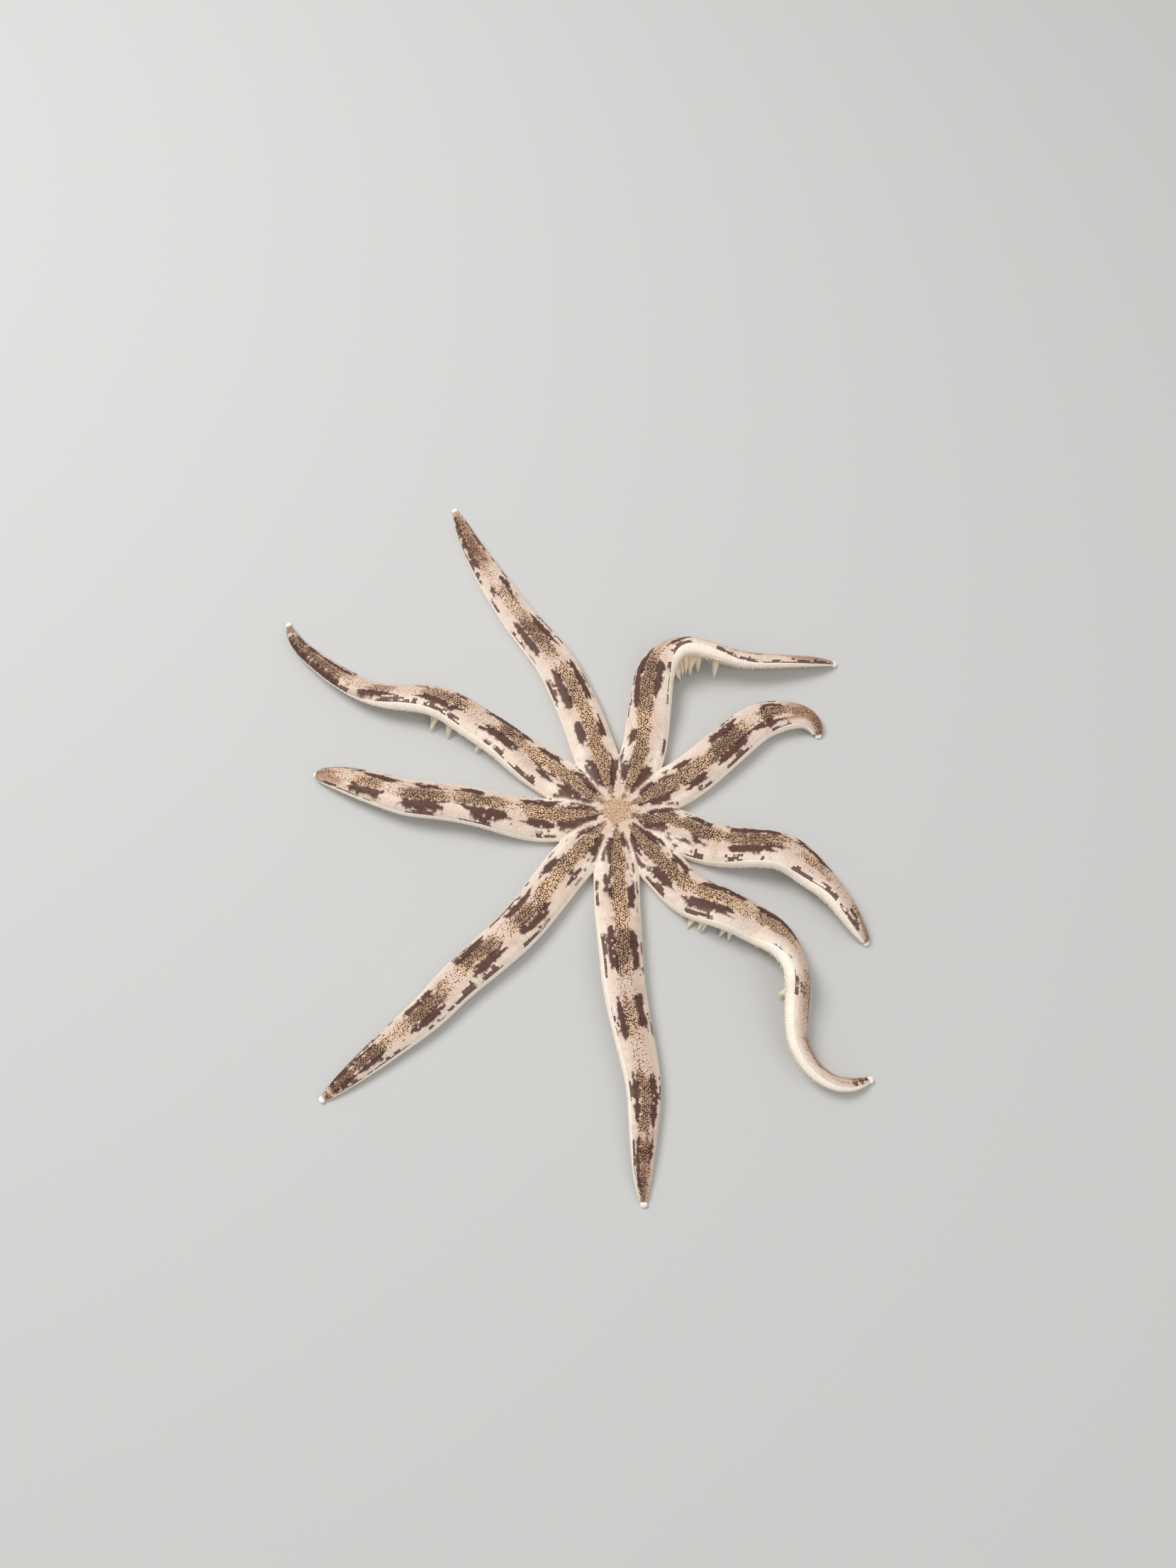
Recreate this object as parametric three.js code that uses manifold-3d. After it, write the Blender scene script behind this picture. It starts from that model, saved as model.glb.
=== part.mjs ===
// A nine-armed sand starfish (Luidia), life size and at rest on a level floor.
//
// Millimetres, +Z up. Every arm is one section swept along its own path over the floor: it sets out from the
// centre of the disc, bends in plan, rolls about its length and lifts off the floor where it arches. The disc
// is what the nine arms share inside one circle, under a low dome, with the furrows and the mouth cut in below.
// The whole is then moved so that the origin lies on the floor, under the middle of its bounding box.

import * as THREE from 'three';
import { mergeVertices } from 'three/addons/utils/BufferGeometryUtils.js';
import Module from 'manifold-3d';

const wasm = await Module();
wasm.setup();

// Arms
const ARM_WIDTH = 15.3;            // across the base of an arm, out to the tips of its marginal spines
const ARM_HEIGHT = 7;              // from the sole to the crest of the back
const TIP_ROUNDNESS = 0.6;         // smaller gives a rounder tip
const HEIGHT_TAPER = 0.85;         // the height falls off a little more slowly than the width
const ROLL_SINK = 0.5;             // how far a fully rolled edge is pressed flat on the floor
const PATH_STEP = 1;                // along an arm's path
const STATION_SPACING = 6.3;       // between the sections of an arm
const DISC_SPACING = 11;
const MIDDLE_AT = 0.45;            // where the middle length of an arm starts, as a part of its length
const END_AT = 0.72;

// One arm's section: [across, up] in half widths and heights, from the right edge over the back to the left.
const BACK = [[1, 0.3], [0.95, 0.58], [0.75, 0.82], [0.4, 0.96], [0, 1],
  [-0.4, 0.96], [-0.75, 0.82], [-0.95, 0.58], [-1, 0.3]];
const SOLE_EDGE = 0.88;
const FURROW_HALF = 0.28;
const FURROW_DEPTH = 0.35;
const FULL_PROFILE = [...BACK, [-SOLE_EDGE, 0], [SOLE_EDGE, 0]];
const ARM_PROFILE = [...BACK, [-SOLE_EDGE, 0], [-FURROW_HALF, 0], [0, FURROW_DEPTH], [FURROW_HALF, 0],
  [SOLE_EDGE, 0]];
const FURROW_PROFILE = [[1.4 * FURROW_HALF, -0.4 * FURROW_DEPTH], [0, FURROW_DEPTH],
  [-1.4 * FURROW_HALF, -0.4 * FURROW_DEPTH]];

// Disc
const DISC_RADIUS = 26.5;          // just past the notches between the arms
const DISC_SIDES = 48;
const DOME_RADIUS = 13;
const DOME_TOP = 7.5;
const DOME_RISE = 4;
const MOUTH_RADIUS = 4;
const MOUTH_TOP_RADIUS = 2;
const MOUTH_DEPTH = 2.6;

// Terminal plate at the tip of each arm
const PLATE_LENGTH = 2;
const PLATE_WIDTH = 2.3;
const PLATE_HEIGHT = 1.6;

// Tube feet under the arched stretches
const FOOT_PITCH = 6;
const FOOT_SIDES = 6;
const FOOT_ROOT_RADIUS = 0.8;
const FOOT_TIP_RADIUS = 0.4;
const FOOT_SPREAD = 2.2;
const FOOT_LEAST_LIFT = 1.2;

const GAP = 0.3;                   // between neighbouring pieces
const FLOOR_SIZE = 400;

// The nine arms, clockwise from above. Heading is in plan, anticlockwise from +X, where the arm leaves the
// centre; the larger blunt is, the longer the arm keeps its width. A bend is [from, to, degrees to the left], a
// roll [from, to, degrees its right side comes up], each eased between two distances along the arm, and a lift
// [from, to, height] is an arch between two.
const ARMS = [
  { heading: 108, length: 137, blunt: 2.5,
    bends: [[32, 44, 5], [50, 70, 14], [76, 90, -5], [94, 112, -3], [112, 126, -6]], rolls: [], lifts: [] },
  { heading: 67, length: 122, blunt: 3.5, bends: [[14, 34, 16], [48, 74, -94], [82, 98, 14]],
    rolls: [[26, 50, 24], [50, 72, 42]], lifts: [[48, 90, 3]] },
  { heading: 28.5, length: 85, blunt: 5, bends: [[16, 38, 13], [51, 76, -47], [72, 85, -70]],
    rolls: [[26, 50, 6], [60, 80, 20]], lifts: [] },
  { heading: 345, length: 96, blunt: 5, bends: [[14, 24, -9], [24, 42, 16], [48, 68, -36], [68, 84, -14]],
    rolls: [[26, 48, 24], [58, 80, 24]], lifts: [[38, 70, 3]] },
  { heading: 309, length: 131, blunt: 2.8, bends: [[26, 48, 28], [54, 88, -71], [94, 114, 50], [109, 129, 62]],
    rolls: [[28, 54, 22], [58, 80, 40], [112, 130, -12]], lifts: [[34, 62, 3], [72, 92, 2]] },
  { heading: 269, length: 124, blunt: 2.8, bends: [[18, 38, 5], [48, 70, 7.5], [80, 98, -14], [112, 122, 6]],
    rolls: [[26, 50, 20]], lifts: [] },
  { heading: 227, length: 131, blunt: 2.8,
    bends: [[16, 30, 7], [38, 62, -12], [72, 82, 6], [82, 96, -8]],
    rolls: [[30, 60, -5]], lifts: [] },
  { heading: 184.5, length: 105, blunt: 6, bends: [[14, 40, -17], [48, 62, 7], [64, 76, -13], [90, 104, 8]],
    rolls: [[24, 46, -26]], lifts: [] },
  { heading: 147, length: 142, blunt: 2.6,
    bends: [[30, 42, -6], [44, 56, 6], [62, 84, 27], [86, 106, -25], [104, 118, -8], [122, 141, -28]],
    rolls: [[24, 48, -24], [60, 96, -16]], lifts: [[50, 92, 2]] },
];

const skinMaterial = new THREE.MeshStandardMaterial({ color: 0xb9a184, roughness: 0.7, flatShading: true });
const discMaterial = new THREE.MeshStandardMaterial({ color: 0xa98a66, roughness: 0.7, flatShading: true });
const plateMaterial = new THREE.MeshStandardMaterial({ color: 0xf2ece2, roughness: 0.45 });

// --- An arm's path -------------------------------------------------------------------------------------

// The sum of eased steps [from, to, amount] that an arm has taken by distance s.
function eased(steps, s) {
  return steps.reduce((sum, [from, to, amount]) => sum + amount * THREE.MathUtils.smoothstep(s, from, to), 0);
}

function liftAt(arm, s) {
  return arm.lifts.reduce((sum, [from, to, height]) => {
    const part = THREE.MathUtils.clamp((s - from) / (to - from), 0, 1);
    return sum + height * 0.5 * (1 - Math.cos(2 * Math.PI * part));
  }, 0);
}

function headingAt(arm, s) {
  return THREE.MathUtils.degToRad(arm.heading + eased(arm.bends, s));
}

// Points along the arm's plan, one PATH_STEP apart.
function pathOf(arm) {
  const points = [new THREE.Vector2(0, 0)];
  for (let s = 0; s < arm.length; s += PATH_STEP) {
    const heading = headingAt(arm, s + PATH_STEP / 2);
    const step = new THREE.Vector2(Math.cos(heading), Math.sin(heading)).multiplyScalar(PATH_STEP);
    points.push(step.add(points.at(-1)));
  }
  return points;
}

function placeAt(arm, s) {
  const index = Math.min(Math.floor(s / PATH_STEP), arm.path.length - 2);
  return arm.path[index].clone().lerp(arm.path[index + 1], s / PATH_STEP - index);
}

function taperAt(arm, s) {
  return (1 - (s / arm.length) ** arm.blunt) ** TIP_ROUNDNESS;
}

// A profile's points in place at distance s, with its lowest sole point at the arm's lift above the floor.
function sectionAt(arm, s, profile) {
  const place = placeAt(arm, s);
  const heading = headingAt(arm, s);
  const roll = THREE.MathUtils.degToRad(eased(arm.rolls, s));
  const halfWidth = ARM_WIDTH / 2 * taperAt(arm, s);
  const height = ARM_HEIGHT * taperAt(arm, s) ** HEIGHT_TAPER;
  const right = new THREE.Vector3(Math.sin(heading), -Math.cos(heading), 0);
  const across = right.clone().multiplyScalar(Math.cos(roll)).setZ(Math.sin(roll));
  const up = right.clone().multiplyScalar(-Math.sin(roll)).setZ(Math.cos(roll));
  const soleDrop = halfWidth * SOLE_EDGE * Math.abs(Math.sin(roll));
  const base = liftAt(arm, s) + soleDrop - ROLL_SINK * Math.abs(Math.sin(roll));
  const middle = 0.4 * height;
  const origin = new THREE.Vector3(place.x, place.y, base + middle * Math.cos(roll));
  return profile.map(([x, y]) => origin.clone()
    .addScaledVector(across, x * halfWidth)
    .addScaledVector(up, y * height - middle));
}

// --- Solids --------------------------------------------------------------------------------------------

function toSolid(geometry) {
  const bare = geometry.clone();
  bare.deleteAttribute('normal');
  bare.deleteAttribute('uv');
  const merged = mergeVertices(bare);
  return new wasm.Manifold(new wasm.Mesh({
    numProp: 3,
    vertProperties: new Float32Array(merged.attributes.position.array),
    triVerts: new Uint32Array(merged.index.array),
  }));
}

function toGeometry(solid) {
  const mesh = solid.getMesh();
  const geometry = new THREE.BufferGeometry();
  geometry.setAttribute('position', new THREE.BufferAttribute(mesh.vertProperties, 3));
  geometry.setIndex(new THREE.BufferAttribute(mesh.triVerts, 1));
  geometry.computeVertexNormals();
  return geometry;
}

// A closed body through rings of points that run anticlockwise seen from the first ring, with flat ends.
function loft(rings) {
  const size = rings[0].length;
  const middleOf = (ring) => ring.reduce((sum, p) => sum.add(p), new THREE.Vector3()).divideScalar(size);
  const points = [...rings.flat(), middleOf(rings[0]), middleOf(rings.at(-1))];
  const startHub = rings.length * size;
  const lastRing = startHub - size;
  const faces = [];
  for (let i = 0; i < size; i += 1) {
    const next = (i + 1) % size;
    faces.push([startHub, i, next], [startHub + 1, lastRing + next, lastRing + i]);
    for (let ring = 0; ring < lastRing; ring += size) {
      const ahead = ring + size;
      faces.push([ring + i, ahead + i, ahead + next], [ring + i, ahead + next, ring + next]);
    }
  }
  const geometry = new THREE.BufferGeometry().setFromPoints(points);
  geometry.setIndex(faces.flat());
  return toSolid(geometry);
}

// The profile swept along an arm between two distances.
function sweep(arm, from, to, profile, spacing = STATION_SPACING) {
  const spans = Math.ceil((to - from) / spacing);
  const rings = [];
  for (let i = 0; i <= spans; i += 1) rings.push(sectionAt(arm, from + (to - from) * i / spans, profile));
  return loft(rings);
}

// An upright round drum about the centre of the disc.
function drum(topRadius, bottomRadius, bottom, top, sides) {
  const geometry = new THREE.CylinderGeometry(topRadius, bottomRadius, top - bottom, sides);
  geometry.rotateX(Math.PI / 2);
  geometry.translate(0, 0, (top + bottom) / 2);
  return toSolid(geometry);
}

const belowFloor = toSolid(new THREE.BoxGeometry(FLOOR_SIZE, FLOOR_SIZE, 20).translate(0, 0, -10));

// --- Disc ----------------------------------------------------------------------------------------------

function makeDisc(arms) {
  const reach = DISC_RADIUS + 6;
  const dome = new THREE.SphereGeometry(1, 18, 8).rotateX(Math.PI / 2)
    .scale(DOME_RADIUS, DOME_RADIUS, DOME_RISE).translate(0, 0, DOME_TOP - DOME_RISE);
  const armBase = (arm) => sweep(arm, 0, reach, FULL_PROFILE, DISC_SPACING);
  const furrow = (arm) => sweep(arm, 1, reach, FURROW_PROFILE, DISC_SPACING);
  const joined = arms.reduce((sum, arm) => sum.add(armBase(arm)), toSolid(dome));
  const round = joined.intersect(drum(DISC_RADIUS, DISC_RADIUS, -1, 20, DISC_SIDES));
  const furrowed = arms.reduce((sum, arm) => sum.subtract(furrow(arm)), round);
  const mouth = drum(MOUTH_TOP_RADIUS, MOUTH_RADIUS, -0.5, MOUTH_DEPTH, 24);
  return furrowed.subtract(mouth).subtract(belowFloor);
}

// --- Arms ----------------------------------------------------------------------------------------------

// A tapered tube foot hanging from one side of the furrow to the floor.
function makeFoot(arm, s, side) {
  const [root, edge] = sectionAt(arm, s, [[side * FURROW_HALF / 2, 0.6 * FURROW_DEPTH], [side, 0]]);
  const outward = edge.clone().sub(root).setZ(0).setLength(FOOT_SPREAD);
  const tip = root.clone().add(outward).setZ(-GAP);
  const length = root.distanceTo(tip);
  const geometry = new THREE.CylinderGeometry(FOOT_TIP_RADIUS, FOOT_ROOT_RADIUS, length,
    FOOT_SIDES);
  geometry.applyQuaternion(new THREE.Quaternion().setFromUnitVectors(
    new THREE.Vector3(0, 1, 0), tip.clone().sub(root).normalize()));
  const middle = root.clone().lerp(tip, 0.5);
  return toSolid(geometry.translate(middle.x, middle.y, middle.z));
}

function makeLength(arm, from, to) {
  let solid = sweep(arm, from, to, ARM_PROFILE);
  for (let s = Math.ceil(from / FOOT_PITCH) * FOOT_PITCH; s < to; s += FOOT_PITCH) {
    const clearOfEnds = s - from > FOOT_SPREAD && to - s > FOOT_SPREAD;
    if (!clearOfEnds || liftAt(arm, s) < FOOT_LEAST_LIFT) continue;
    solid = solid.add(makeFoot(arm, s, 1)).add(makeFoot(arm, s, -1));
  }
  return solid.subtract(belowFloor);
}

// The small bare plate that caps an arm, just past the end of its skin.
function makePlate(arm) {
  const s = arm.length - PLATE_LENGTH / 2;
  const place = placeAt(arm, s);
  const geometry = new THREE.SphereGeometry(0.5, 8, 5);
  geometry.scale(PLATE_LENGTH, PLATE_WIDTH, PLATE_HEIGHT);
  geometry.rotateZ(headingAt(arm, s));
  geometry.translate(place.x, place.y, PLATE_HEIGHT / 2 - 0.1);
  return toSolid(geometry).subtract(belowFloor);
}

// --- Assembly ------------------------------------------------------------------------------------------

const starfish = new THREE.Group();

function addMesh(name, solid, material) {
  const mesh = new THREE.Mesh(toGeometry(solid), material.clone());
  mesh.name = name;
  starfish.add(mesh);
}

ARMS.forEach((arm) => { arm.path = pathOf(arm); });
addMesh('disc', makeDisc(ARMS), discMaterial);

const discClearance = drum(DISC_RADIUS + GAP, DISC_RADIUS + GAP, -1, 20, DISC_SIDES);
ARMS.forEach((arm, index) => {
  const number = index + 1;
  const middleStart = MIDDLE_AT * arm.length;
  const endStart = END_AT * arm.length;
  const base = makeLength(arm, DISC_RADIUS - 6, middleStart - GAP / 2).subtract(discClearance);
  addMesh(`arm_${number}_base`, base, skinMaterial);
  addMesh(`arm_${number}_middle`, makeLength(arm, middleStart + GAP / 2, endStart - GAP / 2), skinMaterial);
  addMesh(`arm_${number}_end`, makeLength(arm, endStart + GAP / 2, arm.length - PLATE_LENGTH - GAP),
    skinMaterial);
  addMesh(`tip_plate_${number}`, makePlate(arm), plateMaterial);
});

const bounds = new THREE.Box3().setFromObject(starfish);
const centre = bounds.getCenter(new THREE.Vector3());
starfish.position.set(-centre.x, -centre.y, -bounds.min.z);

export default starfish;
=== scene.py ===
"""A nine-armed sand starfish at rest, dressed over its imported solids: one skin, and over it the coat of
paxillae (tiny table-topped plates), marginal plates with their spines, the oral side, and tube feet.

Lengths inside the functions are in millimetres, in the part's frame. A mesh turns them to metres.
"""
import math

import bpy
import numpy as np
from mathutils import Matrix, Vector, kdtree
from mathutils.bvhtree import BVHTree


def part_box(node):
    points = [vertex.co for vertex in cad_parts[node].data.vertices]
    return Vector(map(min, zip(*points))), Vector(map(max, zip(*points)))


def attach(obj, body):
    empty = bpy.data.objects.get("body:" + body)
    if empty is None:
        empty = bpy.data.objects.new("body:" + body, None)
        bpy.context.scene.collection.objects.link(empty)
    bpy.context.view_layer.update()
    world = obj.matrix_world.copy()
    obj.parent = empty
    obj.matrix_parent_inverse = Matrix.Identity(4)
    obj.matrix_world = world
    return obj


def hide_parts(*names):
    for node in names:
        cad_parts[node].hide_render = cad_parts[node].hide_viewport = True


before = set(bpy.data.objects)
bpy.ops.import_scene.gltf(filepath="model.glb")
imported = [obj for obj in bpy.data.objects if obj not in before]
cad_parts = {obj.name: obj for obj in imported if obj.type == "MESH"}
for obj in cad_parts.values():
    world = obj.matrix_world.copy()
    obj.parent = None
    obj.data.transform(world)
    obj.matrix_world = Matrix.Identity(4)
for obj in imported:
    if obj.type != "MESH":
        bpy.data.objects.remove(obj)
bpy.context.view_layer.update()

bl_info = {
    "name": "Sand starfish",
    "version": (1, 0, 0),
    "blender": (4, 5, 0),
    "location": "View3D > Sidebar > Starfish",
    "description": "Builds a life-size nine-armed sand starfish over its packed solids",
    "category": "Add Mesh",
}

MM = 0.001
DISC_LOW, DISC_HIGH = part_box("disc")
CENTRE = np.array((DISC_LOW + DISC_HIGH) / 2)[:2] / MM      # plan centre of the disc
DISC_REACH = (DISC_HIGH.x - DISC_LOW.x) / 2 / MM
FLESH = ["disc"] + [f"arm_{n}_{part}" for n in range(1, 10) for part in ("base", "middle", "end")]
TIP_PLATES = [f"tip_plate_{n}" for n in range(1, 10)]

# The arm's form, as in the solids. Its half section is in fractions of half its width and its height, crest
# first.
ARM_WIDTH = 15.3
ARM_HEIGHT = 7.0
TIP_ROUNDNESS = 0.6              # the power that rounds the tip off
HEIGHT_TAPER = 0.85              # the power of the width's share that gives the height's
ROLL_SINK = 0.5                  # how far the low edge of a rolled arm is let down onto its flat
SECTION_PIVOT = 0.4              # the share of the height round which an arm rolls
PATH_STEP = 0.25
HALF_SECTION = [(-0.4, 0.96), (0, 1), (0.4, 0.96), (0.75, 0.82), (0.95, 0.58), (1, 0.3), (0.95, 0.08),
                (0.82, 0), (0.5, 0), (0, 0), (-0.5, 0)]
SOLE_EDGE = 0.88                 # the share of the half width on which a rolled arm rests
FURROW_HALF = 0.28
FURROW_DEPTH = 0.35
MOUTH_RADIUS = 4.0
MOUTH_DEPTH = 2.6
DOME_RADIUS, DOME_TOP, DOME_RISE = 13.0, 7.5, 4.0
PLATE_LENGTH, PLATE_WIDTH, PLATE_HEIGHT = 2.0, 2.3, 1.6

# Where the coat lies on the section, in millimetres round it from the crest of a full-size arm.
MEDIAN_HALF = 2.55               # the honeycomb along the midline ends
BACK_EDGE = 8.2                  # the paxillae give way to the marginal plates
SOLE_FROM = 11.5                 # the sole begins, under the arm's edge
FURROW_LIP = 16.2                # the ribs end beside the furrow
JAW_PLACE = 18.0                 # the jaws stand in the furrow's end
FOOT_PLACE = 18.5                # the tube feet stand in the furrow
ROW_EDGES = [0, 0.6, 1.6, 2.6, 3.6, 4.6, 5.6, 6.6, 7.6]  # rows of tiles inward from the edge, in pitches
LINE_ROW = 0                     # the narrow row that a dark margin line follows
# Rows of spines down the edge: their place, how far they lean out, their length as a share of the marginal
# spines' own, and the share of them that stands out.
FRINGES = [(11.4, 0.12, 0.8, 0.02), (12.2, 0.2, 0.9, 0.05), (13.0, 0.45, 1.2, 0.15)]
# Rows of spines under an arm: their place, length, lean towards the furrow and shift along the arm.
SOLE_SPINES = [(17.4, 0.9, 1.0, 0), (16.6, 0.95, 0.35, 0.4), (15.4, 0.85, -0.5, 0), (13.6, 0.8, -0.9, 0.5)]

# Where the coat begins and ends, in millimetres from the disc's centre or back from an arm's tip.
ROWS_FROM = 10.0                 # radius where the arms' own rows begin
MEDIAN_CLOSING = 0.66            # how much smaller the honeycomb is there
CLOSING_LENGTH = 20              # how far along an arm it takes to reach its full size
DISC_EDGE = 24.0                 # radius out to which small granules fill what the rows leave
COAT_END = 1.3                   # where the coat stops short of an arm's tip
CORE_RADIUS = 4.6                # the golden middle of the disc

# How high the coat stands over the skin, and how far above the floor its lowest points stay.
CROWN_HEIGHT = 0.395
RIB_HEIGHT = 0.40
FLOOR_GAP = 0.02

# The arms, clockwise from above, posed as in the solids. Distances run along the arm from the disc's centre.
# bends: [from, to, degrees to the left]; rolls: [from, to, degrees the right side comes up];
# lifts: [from, to, height]. drift: [from, to, distance to the right] that moves the markings off the crest;
# turn: the same for the whole coat. left and right are the stretches of the dark patches beside the midline,
# left_line and right_line those of the lines along the margins, gold those of the honeycomb on the midline,
# dusk where it darkens, and deep where it is nearly as dark as the patches. russet is where the tip turns
# reddish brown or tan. left_feet and right_feet are the tube feet that reach out from under the arm.
ARMS = [
    dict(heading=108, length=137, blunt=2.5, rolls=[], lifts=[],
         bends=[(32, 44, 5), (50, 70, 14), (76, 90, -5), (94, 112, -3), (112, 126, -6)],
         drift=[(10, 20, 1.1), (50, 64, -1.1)],
         left=[(9, 20), (27, 35), (41, 57), (64, 81), (93, 100), (105, 137)],
         right=[(8, 19), (27, 36), (41, 57), (66, 80), (91, 102)],
         left_line=[(44, 56), (63, 80), (88, 95), (103, 137)], right_line=[(47, 56), (66, 79), (101, 137)],
         dusk=[(66, 84)], gold=[(2, 58), (63, 96), (108, 137)], russet=107),
    dict(heading=67, length=122, blunt=3.5, rolls=[(26, 50, 24), (50, 72, 42)], lifts=[(48, 90, 3)],
         bends=[(14, 34, 16), (48, 74, -94), (82, 98, 14)],
         drift=[(14, 26, -0.9), (36, 48, 0.9)], turn=[(76, 94, 2.2)],
         left=[(8, 18), (25, 32), (39, 60), (64, 71), (80, 96)], right=[(8, 20), (43, 57), (62, 70)],
         left_line=[(36, 56)], right_line=[(25, 30), (44, 58), (62, 70), (80, 119)],
         right_feet=[61.5, 62.6, 63.6, 64.6, 65.6, 66.6, 67.7, 68.8, 70, 71.2, 72.5, 79],
         dusk=[(38, 60), (80, 96)], gold=[(2, 62), (66, 71), (82, 96), (106, 122)], russet=108),
    dict(heading=28.5, length=85, blunt=5, rolls=[(26, 50, 6), (60, 80, 20)], lifts=[],
         bends=[(16, 38, 13), (51, 76, -47), (72, 85, -70)], drift=[],
         left=[(8, 16), (24, 32), (38, 54), (60, 68)], right=[(7, 20), (24, 33), (36, 53), (57, 67)],
         left_line=[(46, 54), (62, 66)], right_line=[(27, 33), (38, 51), (60, 72)],
         dusk=[(36, 54), (60, 72)], deep=[(38, 48), (63, 72)], gold=[(2, 55), (60, 85)], russet=70),
    dict(heading=345, length=96, blunt=5, rolls=[(26, 48, 24), (58, 80, 24)], lifts=[(38, 70, 3)],
         bends=[(14, 24, -9), (24, 42, 16), (48, 68, -36), (68, 84, -14)],
         drift=[(10, 16, -2.2), (28, 44, 1.9)],
         left=[(7, 16), (23, 31), (36, 54), (60, 72), (82, 88)],
         right=[(7, 18), (24, 32), (38, 53), (82, 90)],
         left_line=[(56, 70)], right_line=[(26, 32), (38, 49), (60, 73), (76, 82), (84, 90)],
         dusk=[(36, 53)], gold=[(2, 57), (60, 72), (83, 96)], russet=90),
    dict(heading=309, length=131, blunt=2.8, rolls=[(28, 54, 22), (58, 80, 40), (112, 130, -12)],
         lifts=[(34, 62, 3), (72, 92, 2)],
         bends=[(26, 48, 28), (54, 88, -71), (94, 114, 50), (109, 129, 62)],
         drift=[(16, 28, -1.0), (44, 56, 1.0)],
         left=[(7, 18), (22, 32), (36, 53), (57, 72), (78, 94), (98, 118), (122, 130)],
         right=[(7, 17), (20, 32), (35, 51), (122, 130)],
         left_line=[(37, 46)], right_line=[(27, 30), (39, 46), (68, 76), (80, 88)],
         right_feet=[39.8, 41, 43.4, 44.2, 51.4, 52.2, 85, 85.8],
         dusk=[(57, 72), (98, 118)], gold=[(2, 74), (80, 94), (99, 118), (122, 131)], russet=124),
    dict(heading=269, length=124, blunt=2.8, rolls=[(26, 50, 20)], lifts=[],
         bends=[(18, 38, 5), (48, 70, 7.5), (80, 98, -14), (112, 122, 6)],
         drift=[(14, 22, -0.7), (34, 48, 1.4), (50, 66, 0.5)],
         left=[(7, 14), (23, 34), (40, 55), (61, 74), (84, 101), (105, 112)],
         right=[(7, 16), (19, 30), (38, 55), (62, 75), (84, 100), (103, 122)],
         left_line=[(44, 54), (67, 74), (86, 94)],
         right_line=[(28, 31), (43, 55), (63, 73), (86, 97), (104, 117)],
         dusk=[(40, 53), (88, 101), (106, 124)], gold=[(2, 57), (61, 76), (84, 103), (105, 124)], russet=105),
    dict(heading=227, length=131, blunt=2.8, rolls=[(30, 60, -5)], lifts=[],
         bends=[(16, 30, 7), (38, 62, -12), (72, 82, 6), (82, 96, -8)], drift=[(46, 56, 1.2), (74, 84, -0.8)],
         left=[(7, 15), (23, 30), (38, 52), (57, 72), (84, 98), (105, 131)],
         right=[(7, 15), (24, 34), (38, 52), (60, 73), (82, 97), (106, 131)],
         left_line=[(44, 54), (60, 69), (74, 92), (99, 130)], right_line=[(36, 55), (66, 73), (96, 130)],
         dusk=[(40, 50), (60, 70), (82, 98), (107, 131)], deep=[(85, 95), (108, 131)],
         gold=[(2, 53), (57, 73), (79, 131)], russet=122),
    dict(heading=184.5, length=105, blunt=6, rolls=[(24, 46, -26)], lifts=[],
         bends=[(14, 40, -17), (48, 62, 7), (64, 76, -13), (90, 104, 8)],
         drift=[(14, 34, 1.6), (38, 48, -0.8), (54, 64, -0.5)], turn=[(26, 46, -1.7)],
         left=[(7, 18), (22, 31), (35, 52), (57, 73), (77, 90)],
         right=[(7, 15), (20, 33), (44, 54), (58, 69), (74, 88)],
         left_line=[(26, 28), (38, 52), (58, 70), (78, 103)], right_line=[(20, 32), (86, 103)],
         dusk=[(40, 52), (60, 72)], gold=[(2, 33), (37, 55), (58, 74), (79, 90), (95, 105)], russet=96),
    dict(heading=147, length=142, blunt=2.6, rolls=[(24, 48, -24), (60, 96, -16)], lifts=[(50, 92, 2)],
         bends=[(30, 42, -6), (44, 56, 6), (62, 84, 27), (86, 106, -25), (104, 118, -8), (122, 141, -28)],
         drift=[(12, 20, 1.7), (44, 66, -1.7)], turn=[(84, 106, -3.3)],
         left=[(8, 22), (24, 33), (39, 55), (63, 80), (87, 99), (106, 141)],
         right=[(8, 20), (24, 35), (38, 57), (64, 69), (105, 141)],
         left_line=[(29, 45), (61, 76), (81, 93), (104, 141)], right_line=[(106, 139)],
         left_feet=[53, 65.8, 66.8, 71.6, 72.8, 73.6],
         dusk=[(38, 50), (66, 80), (88, 98)], deep=[(107, 138)],
         gold=[(2, 51), (61, 80), (87, 99), (104, 142)], russet=138),
]


# --- Settings ----------------------------------------------------------------------------------------------

def length_property(name, description, default):
    """A length shown in the scene's units; default is in millimetres."""
    return bpy.props.FloatProperty(name=name, description=description, default=default * MM, min=0,
                                   unit="LENGTH", subtype="DISTANCE", precision=5)


def linear(hex_colour):
    """A six-digit sRGB hex colour as linear red, green and blue."""
    parts = [int(hex_colour[k:k + 2], 16) / 255 for k in (0, 2, 4)]
    return [c / 12.92 if c <= 0.04045 else ((c + 0.055) / 1.055) ** 2.4 for c in parts]


def colour_property(name, description, hex_colour):
    """A colour shown as a swatch, from its sRGB hex value."""
    return bpy.props.FloatVectorProperty(name=name, description=description, default=linear(hex_colour),
                                         size=3, min=0, max=1, subtype="COLOR")


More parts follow.
